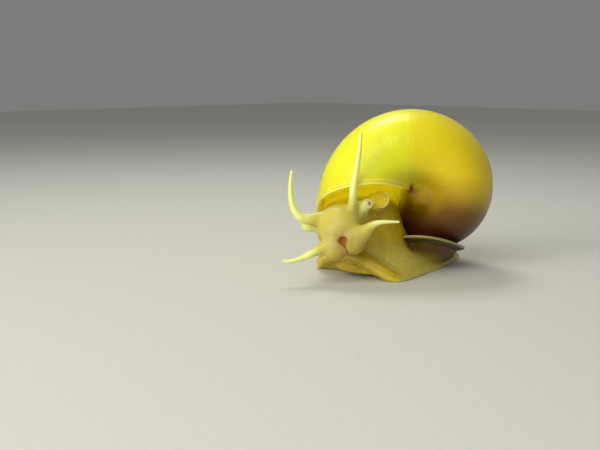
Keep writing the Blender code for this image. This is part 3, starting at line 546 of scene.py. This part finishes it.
def plate_ring(share, rise, sides=160, grow=0.0):
    """A ring on the dished plate, its outline shrunk to a share and raised."""
    a = np.arange(sides) * 2 * math.pi / sides
    ahead = (PLATE_HALF[0] + grow) * np.cos(a) * (1 + 0.06 * np.sin(a) ** 2)
    aside = (PLATE_HALF[1] + grow) * np.sin(a)
    dx = (math.sin(PLATE_TURN) * ahead + math.cos(PLATE_TURN) * aside) * share
    dy = (-math.cos(PLATE_TURN) * ahead + math.sin(PLATE_TURN) * aside) * share
    return np.stack([PLATE_CENTRE[0] + dx, PLATE_CENTRE[1] + dy, plate_height(dx, dy) + rise], axis=-1)


shares = np.linspace(0.02, 0.985, 90)
under = [plate_ring(s, -PLATE_THICK + RING_RISE * math.sin(s * RING_TURN)) for s in shares]
rim = [plate_ring(s, r) for s, r in ((0.997, -0.52), (1.0, -0.42), (1.0, -0.2), (0.997, -0.1))]
over = [plate_ring(s, -0.02 + RING_RISE * math.sin(s * RING_TURN)) for s in shares[::-1]]
operculum = mesh_of("operculum_plate", *rings_of([*under, *rim, *over]))
paint(operculum, "ring", np.concatenate([np.repeat(np.concatenate([shares, [1] * 4, shares[::-1]]), 160), [0, 0]]))

# Horn, laid down in rings: satin and dark brown, paler where it is thin at the rim.
horn, tree = new_material("grown_horn")
ring = add(tree, "ShaderNodeAttribute", attribute_name="ring")
place = add(tree, "ShaderNodeTexCoord")
blur = add(tree, "ShaderNodeTexNoise", {"Vector": place.outputs["Object"], "Scale": 300.0, "Detail": 3.0})
wide = add(tree, "ShaderNodeMath", {0: ring.outputs["Fac"], 1: 0.97}, operation="MULTIPLY")
wavy = add(tree, "ShaderNodeMath", {0: blur.outputs["Fac"], 1: 0.03, 2: wide.outputs[0]}, operation="MULTIPLY_ADD")
tone = add(tree, "ShaderNodeValToRGB", {"Fac": wavy.outputs[0]},
           [(0.0, "#4E3416"), (0.5, "#5A3C18"), (0.9, "#4A371A"), (0.972, "#54461E"), (0.986, "#A29A58")])
times = add(tree, "ShaderNodeMath", {0: wavy.outputs[0], 1: 210.0}, operation="MULTIPLY")
rings = add(tree, "ShaderNodeMath", {0: times.outputs[0]}, operation="SINE")
bump = add(tree, "ShaderNodeBump", {"Height": rings.outputs[0], "Strength": 0.4, "Distance": 0.00004})
shader = add(tree, "ShaderNodeBsdfPrincipled", {
    "Base Color": tone.outputs["Color"], "Roughness": 0.45, "IOR": 1.54, "Coat Weight": 0.1, "Coat Roughness": 0.15,
    "Subsurface Weight": 0.1, "Subsurface Scale": 0.0006, "Normal": bump.outputs[0]})
add(tree, "ShaderNodeOutputMaterial", {"Surface": shader.outputs[0]})
operculum.data.materials.append(horn)
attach(operculum, "root")
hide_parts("operculum")


# Skin
# One soft wet skin over all the flesh: foot, body column, mantle, neck, head and feelers, with no seam.
# It is laid over plain forms, drawn tight as one surface, and then folded and grained.

SOLE_FRONT, SOLE_SHOULDER, SOLE_TAIL = -16.5, -11.0, 21.0
SOLE_HALF_WIDTH = 12.2
FOOT_EDGE, FOOT_RIM = 0.8, 0.48
FRONT_ROLL, ROLL_INSET = 1.25, 0.9
BODY_COLUMN = (((-6.8, -5.0), 9.6, 11.0, 1.0), ((-6.9, -5.4), 8.6, 9.9, 3.5), ((-7.4, -6.6), 7.6, 8.5, 6.5),
               ((-7.9, -7.8), 7.1, 7.9, 10.0), ((-8.3, -8.6), 6.9, 7.7, 13.5), ((-8.6, -9.0), 6.5, 7.2, 18.0))
HEAD_BALLS = (((0.3, 3.0, -6.2), (4.9, 4.5, 5.2)), ((0.1, 1.6, -3.6), (4.4, 4.1, 3.4)),
              ((1.9, -1.3, -2.0), (2.5, 2.5, 2.2)), ((-2.1, -1.3, -2.0), (2.6, 2.6, 2.2)))
FEELERS = {
    "tentacle_left": ((3.2, 4.4, -5.4, 1.6), (4.1, 5.7, -4.2, 1.2), (4.85, 7.5, -3.3, 0.92), (5.7, 9.5, -2.7, 0.8),
                      (7.6, 12.9, -2.4, 0.6), (9.4, 16.4, -2.4, 0.46), (10.9, 19.7, -2.6, 0.3)),
    "tentacle_right": ((-2.3, 5.0, -5.4, 2.0), (-3.8, 5.75, -4.8, 1.6), (-5.4, 6.3, -4.4, 1.3),
                       (-6.65, 7.1, -4.1, 1.07), (-7.35, 8.4, -3.8, 0.86), (-7.6, 10.2, -3.7, 0.7),
                       (-7.35, 11.9, -3.6, 0.62), (-6.85, 13.7, -3.5, 0.5), (-6.1, 15.6, -3.6, 0.4),
                       (-5.3, 17.2, -3.7, 0.31)),
    "palp_left": ((1.6, -0.3, -2.4, 2.7), (3.2, -0.2, -2.0, 2.35), (4.7, 0.1, -1.7, 1.76), (6.5, 0.85, -1.3, 1.04),
                  (8.0, 1.05, -1.05, 0.6), (9.5, 0.75, -0.9, 0.44), (12.3, -0.25, -0.9, 0.28)),
    "palp_right": ((-1.8, 0.0, -2.4, 2.4), (-3.8, -0.1, -2.0, 1.7), (-5.5, -0.3, -1.7, 1.15),
                   (-7.7, -0.55, -1.3, 0.8), (-9.8, -0.65, -0.9, 0.56), (-11.8, -0.45, -0.4, 0.44),
                   (-12.8, 0.1, -0.2, 0.36)),
    "eye_stalk_left": ((3.6, 3.4, -7.0, 1.6), (5.2, 4.5, -6.2, 1.5), (6.4, 5.0, -5.5, 1.35), (7.2, 5.25, -5.0, 1.2),
                       (7.7, 5.35, -4.7, 0.95), (8.0, 5.4, -4.5, 0.45)),
    "eye_stalk_right": ((-3.0, 3.2, -7.4, 1.6), (-4.4, 4.2, -7.2, 1.5), (-5.5, 4.7, -7.0, 1.35),
                        (-6.3, 4.9, -6.9, 1.2), (-6.9, 5.0, -6.9, 0.95), (-7.2, 5.0, -6.9, 0.45)),
}
SIPHON_MIDDLE = np.array((-0.7, -13.2, 17.4))
SIPHON_AHEAD = np.array((0.62, -0.76, 0.15)) / np.linalg.norm((0.62, -0.76, 0.15))
SIPHON_LENGTH = 2.4
FEELER_ROOTS = {"tentacle_left": 3.9, "tentacle_right": 4.4, "palp_left": 5.6, "palp_right": 4.6,
                "eye_stalk_left": 2.5, "eye_stalk_right": 2.3}      # the length of each that belongs to the head
MANTLE_RECESS = 1.5
SIPHON_OUTER, SIPHON_WALL, SIPHON_RIM = 1.55, 0.42, 0.27
LID_AHEAD, LID_RADIUS, LID_THICK = 0.18, 0.82, 0.3
FIRST_VOXEL, LAST_VOXEL = 0.28, 0.16
MOUTH_WIDTH, MOUTH_HEIGHT, MOUTH_DEPTH = 0.8, 0.74, 0.65
CLEFT_WIDTH, CLEFT_DEPTH = 0.16, 0.24
PUCKER_RADIUS, PUCKER_WIDTH, PUCKER_RISE = 1.3, 0.5, 0.07
GRAIN_RISE, FOLD_RISE = 0.065, 0.1


def sole_axis(y):
    return -8.2 + 4.2 * (y - SOLE_FRONT) / (SOLE_TAIL - SOLE_FRONT)


def sole_half_width(y):
    front = np.sqrt(np.clip(1 - ((SOLE_SHOULDER - y) / (SOLE_SHOULDER - SOLE_FRONT)) ** 2, 0, 1))
    rear = np.clip(1 - np.clip((y - SOLE_SHOULDER) / (SOLE_TAIL - SOLE_SHOULDER), 0, 1) ** 1.15, 0, 1) ** 0.8
    return SOLE_HALF_WIDTH * np.where(y < SOLE_SHOULDER, front, rear)


def front_lift(x, y):
    """How far the front of the sole is raised there."""
    aside = (x - sole_axis(y)) / (SOLE_HALF_WIDTH - 0.8)
    return 4.2 * step_of(SOLE_SHOULDER + 1.5 - y, 0, 6.5) * np.clip(1 - aside ** 2, 0, 1)


def slab_ring(share, over, stations=120):
    """A ring of the foot, its outline shrunk towards the midline, on its top or below the floor."""
    y = SOLE_TAIL - (SOLE_TAIL - SOLE_FRONT) * (1 - np.cos(np.linspace(0, math.pi, stations + 1))) / 2
    x = np.concatenate([sole_axis(y) + sole_half_width(y), (sole_axis(y) - sole_half_width(y))[-2:0:-1]])
    y = np.concatenate([y, y[-2:0:-1]])
    middle_y = np.clip(y, -10.5, 15.0)
    middle_x = sole_axis(middle_y)
    px, py = middle_x + (x - middle_x) * share, middle_y + (y - middle_y) * share
    tall = 3.4 + (1.9 - 3.4) * np.clip((py + 6) / 16, 0, 1)
    swell = math.sin(min(1.0, (1 - share) / 0.6) * math.pi / 2)
    edge = FOOT_RIM if share == 1.0 else FOOT_EDGE
    z = edge + (tall - FOOT_EDGE) * swell if over else np.full(len(px), -0.8)
    return np.stack([px, py, front_lift(px, py) + z], axis=-1)


def ellipse(middle, half_x, half_y, z, angles):
    """A level ring of the body."""
    return np.stack([middle[0] + half_x * np.cos(angles), middle[1] + half_y * np.sin(angles),
                     np.full(len(angles), z)], axis=-1)


def mesh_from(name, pieces):
    """One mesh of several closed bodies."""
    points, faces, count = [], [], 0
    for piece, sides in pieces:
        points.append(piece)
        faces += [tuple(i + count for i in face) for face in sides]
        count += len(piece)
    return mesh_of(name, np.vstack(points), faces)


def feeler_path(name, start, stop=math.inf):
    """A feeler's path between two distances from its root, in even steps."""
    rows = smooth_path(FEELERS[name], 24)
    path = np.column_stack([on_head(rows[:, :3]), rows[:, 3]])
    far = np.concatenate(([0.0], np.cumsum(np.linalg.norm(np.diff(path[:, :3], axis=0), axis=1))))
    at = np.arange(start, min(stop, far[-1]) + 0.01, 0.25)
    return np.column_stack([np.interp(at, far, path[:, i]) for i in range(4)])


def block(name, point, normal, size=90.0):
    """A large block on the side of a plane that the normal points to."""
    normal = np.asarray(normal, float) / np.linalg.norm(normal)
    side = np.cross(normal, (0.3, 0.5, 0.8))
    side /= np.linalg.norm(side)
    other = np.cross(normal, side)
    square = np.array([point + size / 2 * (a * side + b * other) for a, b in ((1, 1), (-1, 1), (-1, -1), (1, -1))])
    return mesh_of(name, *rings_of([square, square + normal * size]))


def piece_of(obj):
    """An object's points and faces, to join with others. It is removed."""
    piece = places(obj), [tuple(face.vertices) for face in obj.data.polygons]
    bpy.data.objects.remove(obj)
    return piece


even = np.arange(64) * 2 * math.pi / 64
slab = [slab_ring(s, False) for s in (0.08, 0.5, 0.85, 0.99)]
slab += [slab_ring(s, True) for s in (1.0, 0.98, 0.96, 0.92, 0.88, 0.82, 0.75, 0.65, 0.55, 0.42, 0.3, 0.18, 0.08)]
roll = []
for a in np.radians(np.linspace(-82, 82, 61)):
    y = SOLE_SHOULDER - (SOLE_SHOULDER - SOLE_FRONT - ROLL_INSET) * math.cos(a)
    x = sole_axis(y) + (SOLE_HALF_WIDTH - ROLL_INSET) * math.sin(a)
    radius = FRONT_ROLL * (0.6 + 0.4 * math.cos(a))
    roll.append((x, y, front_lift(x, y) + radius, radius))
pads = [plate_ring(share, rise, 64) for share, rise in ((0.72, -1.6), (0.84, -0.3))]
angles = np.arctan2(pads[0][:, 1] - PLATE_CENTRE[1], pads[0][:, 0] - PLATE_CENTRE[0])
lobe = [ellipse((-5.3, 6.0), 5.0, 8.6, 0.6, angles), ellipse((-4.2, 6.0), 5.6, 8.4, 1.6, angles), *pads]
neck = [(*on_head(row[:3]), row[3]) for row in ((0.2, 2.2, -5.5, 4.9), (0.4, 2.2, -9.5, 5.6))]
neck += [(-8.6, -12.5, 13.4, 6.4), (-8.6, -8.6, 14.6, 6.2)]
turns = np.arange(-60.0, 61.0, 3.0)[:, None]
mantle = mesh_of("mantle", *rings_of(tube_point(turns, even[None, :] + math.pi / 64, -WALL - 0.3)))
lip_point = APEX + LIP_NORMAL * LIP_OFFSET / (LIP_NORMAL @ LIP_NORMAL)
combine(mantle, [block("recess", lip_point - lip_ahead * MANTLE_RECESS, lip_ahead)], "DIFFERENCE")
siphon_root = SIPHON_MIDDLE - SIPHON_AHEAD * SIPHON_LENGTH
body = draw_tight(mesh_from("snail_skin", [
    rings_of(slab), tube(roll), rings_of([ellipse(*row, even) for row in BODY_COLUMN]), rings_of(lobe),
    piece_of(mantle), tube(smooth_path(neck, 8), 48), *(ball(on_head(place), radii) for place, radii in HEAD_BALLS),
    tube([(*(siphon_root + SIPHON_AHEAD * far), radius) for far, radius in ((-3.0, 2.0), (1.0, 1.7))]),
    *(tube(feeler_path(name, 0.0, cut + 1.2)) for name, cut in FEELER_ROOTS.items())]), FIRST_VOXEL, 26)
slot = [plate_ring(s, -PLATE_THICK - 0.12, 96, 0.12) for s in (0.05, 0.5, 1.0)]
slot += [plate_ring(s, 0.12, 96, 0.12) for s in (1.0, 0.5, 0.05)]
combine(body, [block("floor", np.zeros(3), (0, 0, -1)), shell_body("wall", 64, 4.0, 0.15),
               shell_length("wall", 0, 64, 4.0, 0.15), columella(0.2),
               mesh_of("slot", *rings_of(slot))], "DIFFERENCE")

# The feelers, the rolled siphon and the lids of the eyes join the body before it is drawn tight again
parts = [piece_of(body)]
siphon_side = np.cross((0, 0, 1), SIPHON_AHEAD)
siphon_side /= np.linalg.norm(siphon_side)
siphon_up = np.cross(SIPHON_AHEAD, siphon_side)
arc = np.radians(np.linspace(-140, 68, 60))
curl = np.cos(arc)[:, None] * siphon_side + np.sin(arc)[:, None] * siphon_up
trough = []
for share in np.linspace(0, 1, 16):
    outer = SIPHON_OUTER + 0.45 * share ** 2
    centre = siphon_root + SIPHON_AHEAD * SIPHON_LENGTH * share
    trough.append([*(centre + outer * curl), *(centre + (outer - SIPHON_WALL) * curl[::-1])])
thick = SIPHON_RIM * np.minimum(1.0, 0.5 + 3 * np.minimum(arc - arc[0], arc[-1] - arc))
parts += [rings_of(trough), tube(np.column_stack([centre + 1.82 * curl, thick]), 14)]
for name, cut in FEELER_ROOTS.items():
    path = feeler_path(name, cut - 1.0)
    path[:, 3] *= 0.8 + 0.2 * step_of(np.arange(len(path)) * 0.25, 0.0, 2.2)
    ahead = path[-1, :3] - path[-2, :3]
    ahead /= np.linalg.norm(ahead)
    tip = [(*(path[-1, :3] + ahead * path[-1, 3] * far), path[-1, 3] * share)
           for far, share in ((0.5, 0.85), (0.85, 0.5))]
    parts.append(tube([*path, *tip], 20))
circle = np.radians(np.arange(0, 375, 15))[:, None]
for place, looks in EYES.values():
    side, across, ahead = eye_axes(looks)
    lid = on_head(place) + ahead * LID_AHEAD + LID_RADIUS * (np.cos(circle) * side + np.sin(circle) * across)
    parts.append(tube(np.column_stack([lid, np.full(len(lid), LID_THICK)]), 10))
skin = draw_tight(mesh_from("snail_skin", parts), LAST_VOXEL, 6)
for place, looks in EYES.values():
    combine(skin, [mesh_of("socket", *ball(on_head(place), (EYE_RADIUS + 0.03,) * 3, HEAD, 40))], "DIFFERENCE")


def above_plate(where):
    """How far a place lies above the middle of the operculum's plate, and 9 away from it."""
    dx, dy = where[:, 0] - PLATE_CENTRE[0], where[:, 1] - PLATE_CENTRE[1]
    return np.where(np.hypot(dx, dy) < 12.0, where[:, 2] - plate_height(dx, dy) + PLATE_THICK / 2, 9.0)

# Lips, cleft, folds and grain are pushed into the surface

relax_where(skin, 1 - step_of(np.abs(above_plate(places(skin))), 1.0, 2.0), 14)
where, normals = places(skin), normals_of(skin)
left, up, ahead = ((where - MOUTH) @ HEAD.T).T
on_face = step_of(ahead, -5.0, -3.5)
radius = np.hypot(left, up)
throat = np.hypot(left / (MOUTH_WIDTH * np.clip(1 + up / 1.6, 0.15, 1)), np.clip(up, 0, 9) / MOUTH_HEIGHT)
throat = np.where(up > -1.5, throat, 9.0)
mouth = np.exp(-throat ** 4) * on_face
cleft = np.exp(-((left + 0.03 * up) / CLEFT_WIDTH) ** 2) * on_face
cleft *= step_of(-up, 0.9, 1.6) * (1 - step_of(-up, 3.0, 4.2))
pucker = np.exp(-((radius - PUCKER_RADIUS) / PUCKER_WIDTH) ** 2) * on_face
deep = pucker * (PUCKER_RISE + 0.018 * np.cos(np.arctan2(up, left) * 11 + 2 * up))
deep -= MOUTH_DEPTH * mouth + CLEFT_DEPTH * cleft
creases = np.sin(2 * math.pi * np.hypot(left, up + 0.4) / 0.85 + 1.2 * np.sin(left * 1.3))
deep += 0.01 * creases * step_of(radius, 1.8, 2.6) * (1 - step_of(radius, 5.0, 7.0)) * on_face
along_feeler, near_feeler = np.zeros(len(where)), np.full(len(where), 9.0)
close = np.nonzero(ahead > -9.0)[0]
for name, cut in FEELER_ROOTS.items():
    path = feeler_path(name, cut - 2.0)
    gap = np.linalg.norm(where[close][:, None] - path[None, ::2, :3], axis=2) / path[None, ::2, 3]
    best = gap.argmin(axis=1)
    size = gap[np.arange(len(close)), best]
    wins = size < near_feeler[close]
    near_feeler[close[wins]] = size[wins]
    along_feeler[close[wins]] = best[wins] * 0.5
feeler = 1 - step_of(near_feeler, 1.15, 1.6)
low = 1 - step_of(where[:, 2] - 0.22 * (-where[:, 1] - 8), 4.0, 9.0)
flank = (1 - step_of(ahead, -7.5, -5.5)) * (1 - feeler)
grain = np.zeros(len(where))
folds = np.zeros(len(where))
for index in np.nonzero(flank > 0.02)[0].tolist():
    x, y, z = where[index]
    grain[index] = noise.noise((x * 2.6, y * 2.6, z * 2.6)) + 0.6 * noise.noise((x * 5.4, y * 5.4, z * 5.4))
    folds[index] = noise.noise((x * 0.9, y * 0.9, z * 0.32))
deep += flank * (GRAIN_RISE * low * grain + 0.012 * grain + FOLD_RISE * (1 - low) * (np.abs(folds) ** 0.7 - 0.3))
deep *= step_of(where[:, 2], 0.05, 0.5)
deep *= step_of(np.abs(above_plate(where)), 0.5, 1.3)
where += normals * deep[:, None]
where[:, 2] = np.maximum(where[:, 2], 0.0)
move_to(skin, where)

# What the colours follow: the pale face and feelers, the orange throat and siphon, the grained skirt, painted shade
# under the operculum and painted light on the mantle's collar
siphon_far = (where - SIPHON_MIDDLE) @ SIPHON_AHEAD
siphon_out = np.linalg.norm(where - SIPHON_MIDDLE - siphon_far[:, None] * SIPHON_AHEAD, axis=1)
siphon_here = step_of(siphon_far, -3.5, -1.0) * (1 - step_of(siphon_out, 2.3, 2.8))
siphon_rim = siphon_here * step_of(siphon_far, -1.2, -0.2) * step_of(siphon_out, 1.0, 1.5)
hollow = siphon_here * (1 - siphon_rim)
face = step_of(ahead + 0.1 * up, -6.2, -4.2)
# Painted shade: the pale of the face fades on its lower part, where less light falls.
lit_face = face * (1 - 0.7 * step_of(-up, 0.8, 3.2))
margin = 1 - step_of(np.abs(where[:, 2] - front_lift(where[:, 0], where[:, 1]) - 0.45), 0.15, 0.6)
margin *= 1 - step_of(sole_half_width(where[:, 1]) - np.abs(where[:, 0] - sole_axis(where[:, 1])), 0.2, 1.4)
# Painted shade: the skin just under the operculum's plate is painted dark brown where the plate shades it.
plate_shadow = step_of(-above_plate(where), 0.0, 0.5) * (1 - step_of(-above_plate(where), 1.4, 4.0))
plate_shadow *= 1 - step_of(np.hypot(where[:, 0] - PLATE_CENTRE[0], where[:, 1] - PLATE_CENTRE[1]), 9.0, 11.8)
skirt = low * flank * step_of(where[:, 1], -16.0, -9.0) * (1 - step_of(where[:, 1], 0.0, 6.0)) * (1 - plate_shadow)
paint(skin, "pale", np.clip(np.maximum.reduce([lit_face, feeler, siphon_rim, 0.9 * margin, 0.7 * skirt]), 0, 1))
paint(skin, "tip", feeler * step_of(along_feeler, 0.0, 3.6))
paint(skin, "rosy", np.exp(-(radius / 3.2) ** 2) * on_face)
throat_tone = np.exp(-throat ** 3) * on_face + 0.6 * cleft
siphon_tone = 0.1 * hollow * step_of(-siphon_far, 0.4, 1.5)
paint(skin, "orange", np.clip(throat_tone + siphon_tone, 0, 1))
paint(skin, "plate_shade", 0.9 * plate_shadow * (1 - margin))
mantle_depth = (where - lip_point) @ lip_ahead
# Painted light: the mantle's collar under the lip and the siphon's hollow are painted bright lemon and made to glow,
# for the light that comes through the thin shell.
lit_collar_tone = step_of(where[:, 2], 10.0, 13.0) * (1 - step_of(mantle_depth, -0.2, 1.5)) * (1 - face) * (1 - feeler)
paint(skin, "mantle", np.maximum(lit_collar_tone * (1 - hollow), 0.6 * hollow))
paint(skin, "granules", low * flank * step_of(where[:, 1], -18.0, -10.0) * (1 + skirt))

# Living snail skin, wet: soft and cloudy, so light goes in and comes out warm, under a thin film of slime.
# Its pale granules are drawn at 0.33 mm, a little coarser than life. The mantle's collar and the siphon's hollow are
# painted light: a bright lemon tone and a weak glow stand for the light that the thin shell lets through to them.
flesh, tree = new_material("wet_mantle_skin")
pale, tip, rosy, orange, lit_collar, granules, plate_shade = (
    add(tree, "ShaderNodeAttribute", attribute_name=name).outputs["Fac"]
    for name in ("pale", "tip", "rosy", "orange", "mantle", "granules", "plate_shade"))
place = add(tree, "ShaderNodeTexCoord")
clouds = add(tree, "ShaderNodeTexNoise", {"Vector": place.outputs["Object"], "Scale": 260.0, "Detail": 4.0})
deep_tone = add(tree, "ShaderNodeValToRGB", {"Fac": clouds.outputs["Fac"]}, [(0.3, "#AE9106"), (0.7, "#C6AB12")])
cells = add(tree, "ShaderNodeTexVoronoi", {"Vector": place.outputs["Object"], "Scale": 3000.0})
dots = add(tree, "ShaderNodeMapRange", {"Value": cells.outputs["Distance"], "From Min": 0.1, "From Max": 0.55,
                                        "To Min": 1.0, "To Max": 0.0})
patches = add(tree, "ShaderNodeMapRange", {"Value": clouds.outputs["Fac"], "From Min": 0.3, "From Max": 0.6})
dotted = add(tree, "ShaderNodeMath", {0: dots.outputs["Result"], 1: patches.outputs["Result"]}, operation="MULTIPLY")
dot_share = add(tree, "ShaderNodeMath", {0: dotted.outputs[0], 1: granules}, operation="MULTIPLY")
tone = deep_tone.outputs["Color"]
# The dark brown under the operculum is painted shade.
for share, tint in ((dot_share.outputs[0], "#E6DE98"), (plate_shade, "#4A2C04"), (lit_collar, "#F6E01C"), (pale, "#CBBE54"),
                    (tip, "#E8EE94"), (rosy, "#B0984E"), (orange, "#AA6202")):
    tone = add(tree, "ShaderNodeMix", {0: share, 6: tone, 7: colour(tint)}, data_type="RGBA").outputs[2]
# Painted light: a weak glow on the collar and the siphon's hollow.
collar_glow = add(tree, "ShaderNodeMix", {0: lit_collar, 6: colour("#000000"), 7: colour("#EEE60C")}, data_type="RGBA")
film = add(tree, "ShaderNodeTexNoise", {"Vector": place.outputs["Object"], "Scale": 1500.0, "Detail": 2.0})
bump = add(tree, "ShaderNodeBump", {"Height": film.outputs["Fac"], "Strength": 0.25, "Distance": 0.00005})
shader = add(tree, "ShaderNodeBsdfPrincipled", {
    "Base Color": tone, "Roughness": 0.42, "IOR": 1.4, "Coat Weight": 0.25, "Coat Roughness": 0.2,
    "Coat IOR": 1.34, "Subsurface Weight": 0.45, "Subsurface Scale": 0.0014, "Subsurface Radius": (1.0, 0.65, 0.25),
    "Emission Color": collar_glow.outputs[2], "Emission Strength": 0.2, "Normal": bump.outputs[0]})
add(tree, "ShaderNodeOutputMaterial", {"Surface": shader.outputs[0]})
skin.data.materials.append(flesh)
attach(skin, "root")
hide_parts(*(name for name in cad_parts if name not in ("shell", "operculum", "eye_left", "eye_right")))


# Studio
# A plain pale floor under an even grey dome, with three soft lamps: a small one above and behind, a large one
# in front and a low one that lifts the underside. The camera stands at the photo's view.

FLOOR_HALF = 900.0
floor = mesh_of("floor", [(x * FLOOR_HALF, y * FLOOR_HALF, 0) for x, y in ((-1, -1), (1, -1), (1, 1), (-1, 1))],
                [(0, 1, 2, 3)])
paper, tree = new_material("matt_card")
place = add(tree, "ShaderNodeTexCoord")
fibre = add(tree, "ShaderNodeTexNoise", {"Vector": place.outputs["Object"], "Scale": 900.0, "Detail": 2.0})
tone = add(tree, "ShaderNodeValToRGB", {"Fac": fibre.outputs["Fac"]}, [(0.0, "#C8C7C3"), (1.0, "#D2D1CD")])
shader = add(tree, "ShaderNodeBsdfPrincipled", {"Base Color": tone.outputs["Color"], "Roughness": 0.9})
add(tree, "ShaderNodeOutputMaterial", {"Surface": shader.outputs[0]})
floor.data.materials.append(paper)

CAMERA_AT = np.array((128.57486, -170.24797, 43.60471))
CAMERA_AXES = np.array(((0.7166, 0.69749, 0.0), (-0.10796, 0.11092, 0.98795), (0.68908, -0.70796, 0.15479)))
lens = bpy.data.cameras.new("camera")
lens.sensor_width, lens.lens, lens.clip_start = 36.0, 58.08, 0.01
camera = bpy.data.objects.new("camera", lens)
bpy.context.scene.collection.objects.link(camera)
stand = Matrix(CAMERA_AXES.tolist()).transposed().to_4x4()
stand.translation = Vector(CAMERA_AT * MM + STANDS)
camera.matrix_world = stand
bpy.context.scene.camera = camera


def lamp(name, place, target, size, power, tint):
    """A soft square lamp in the snail's millimetres, aimed at a place."""
    light = bpy.data.lights.new(name, "AREA")
    light.size, light.energy, light.color = size * MM, power, colour(tint)[:3]
    made = bpy.data.objects.new(name, light)
    bpy.context.scene.collection.objects.link(made)
    made.location = np.asarray(place) * MM + STANDS
    aim = Vector(np.asarray(target, float) - np.asarray(place, float))
    made.rotation_euler = aim.to_track_quat("-Z", "Y").to_euler()


lamp("hood", (-130, 70, 290), (-6, 0, 15), 110, 0.36, "#FFFFF2")
lamp("key", (80, -290, 250), (-6, 0, 15), 320, 0.84, "#FFFFF2")
lamp("low", (-90, -405, 150), (-6, 0, 12), 200, 0.75, "#FFFCF0")
world = bpy.data.worlds.new("studio")
world.use_nodes = True
world.node_tree.nodes.clear()
sky = add(world.node_tree, "ShaderNodeTexCoord")
split = add(world.node_tree, "ShaderNodeSeparateXYZ", {0: sky.outputs["Generated"]})
dome = add(world.node_tree, "ShaderNodeValToRGB", {"Fac": split.outputs["Z"]},
           [(0.07, "#7C7C7A"), (0.25, "#8A8A88")])
glow = add(world.node_tree, "ShaderNodeBackground", {"Color": dome.outputs["Color"], "Strength": 1.0})
add(world.node_tree, "ShaderNodeOutputWorld", {"Surface": glow.outputs[0]})
bpy.context.scene.world = world
bpy.context.scene.view_settings.view_transform = "Standard"
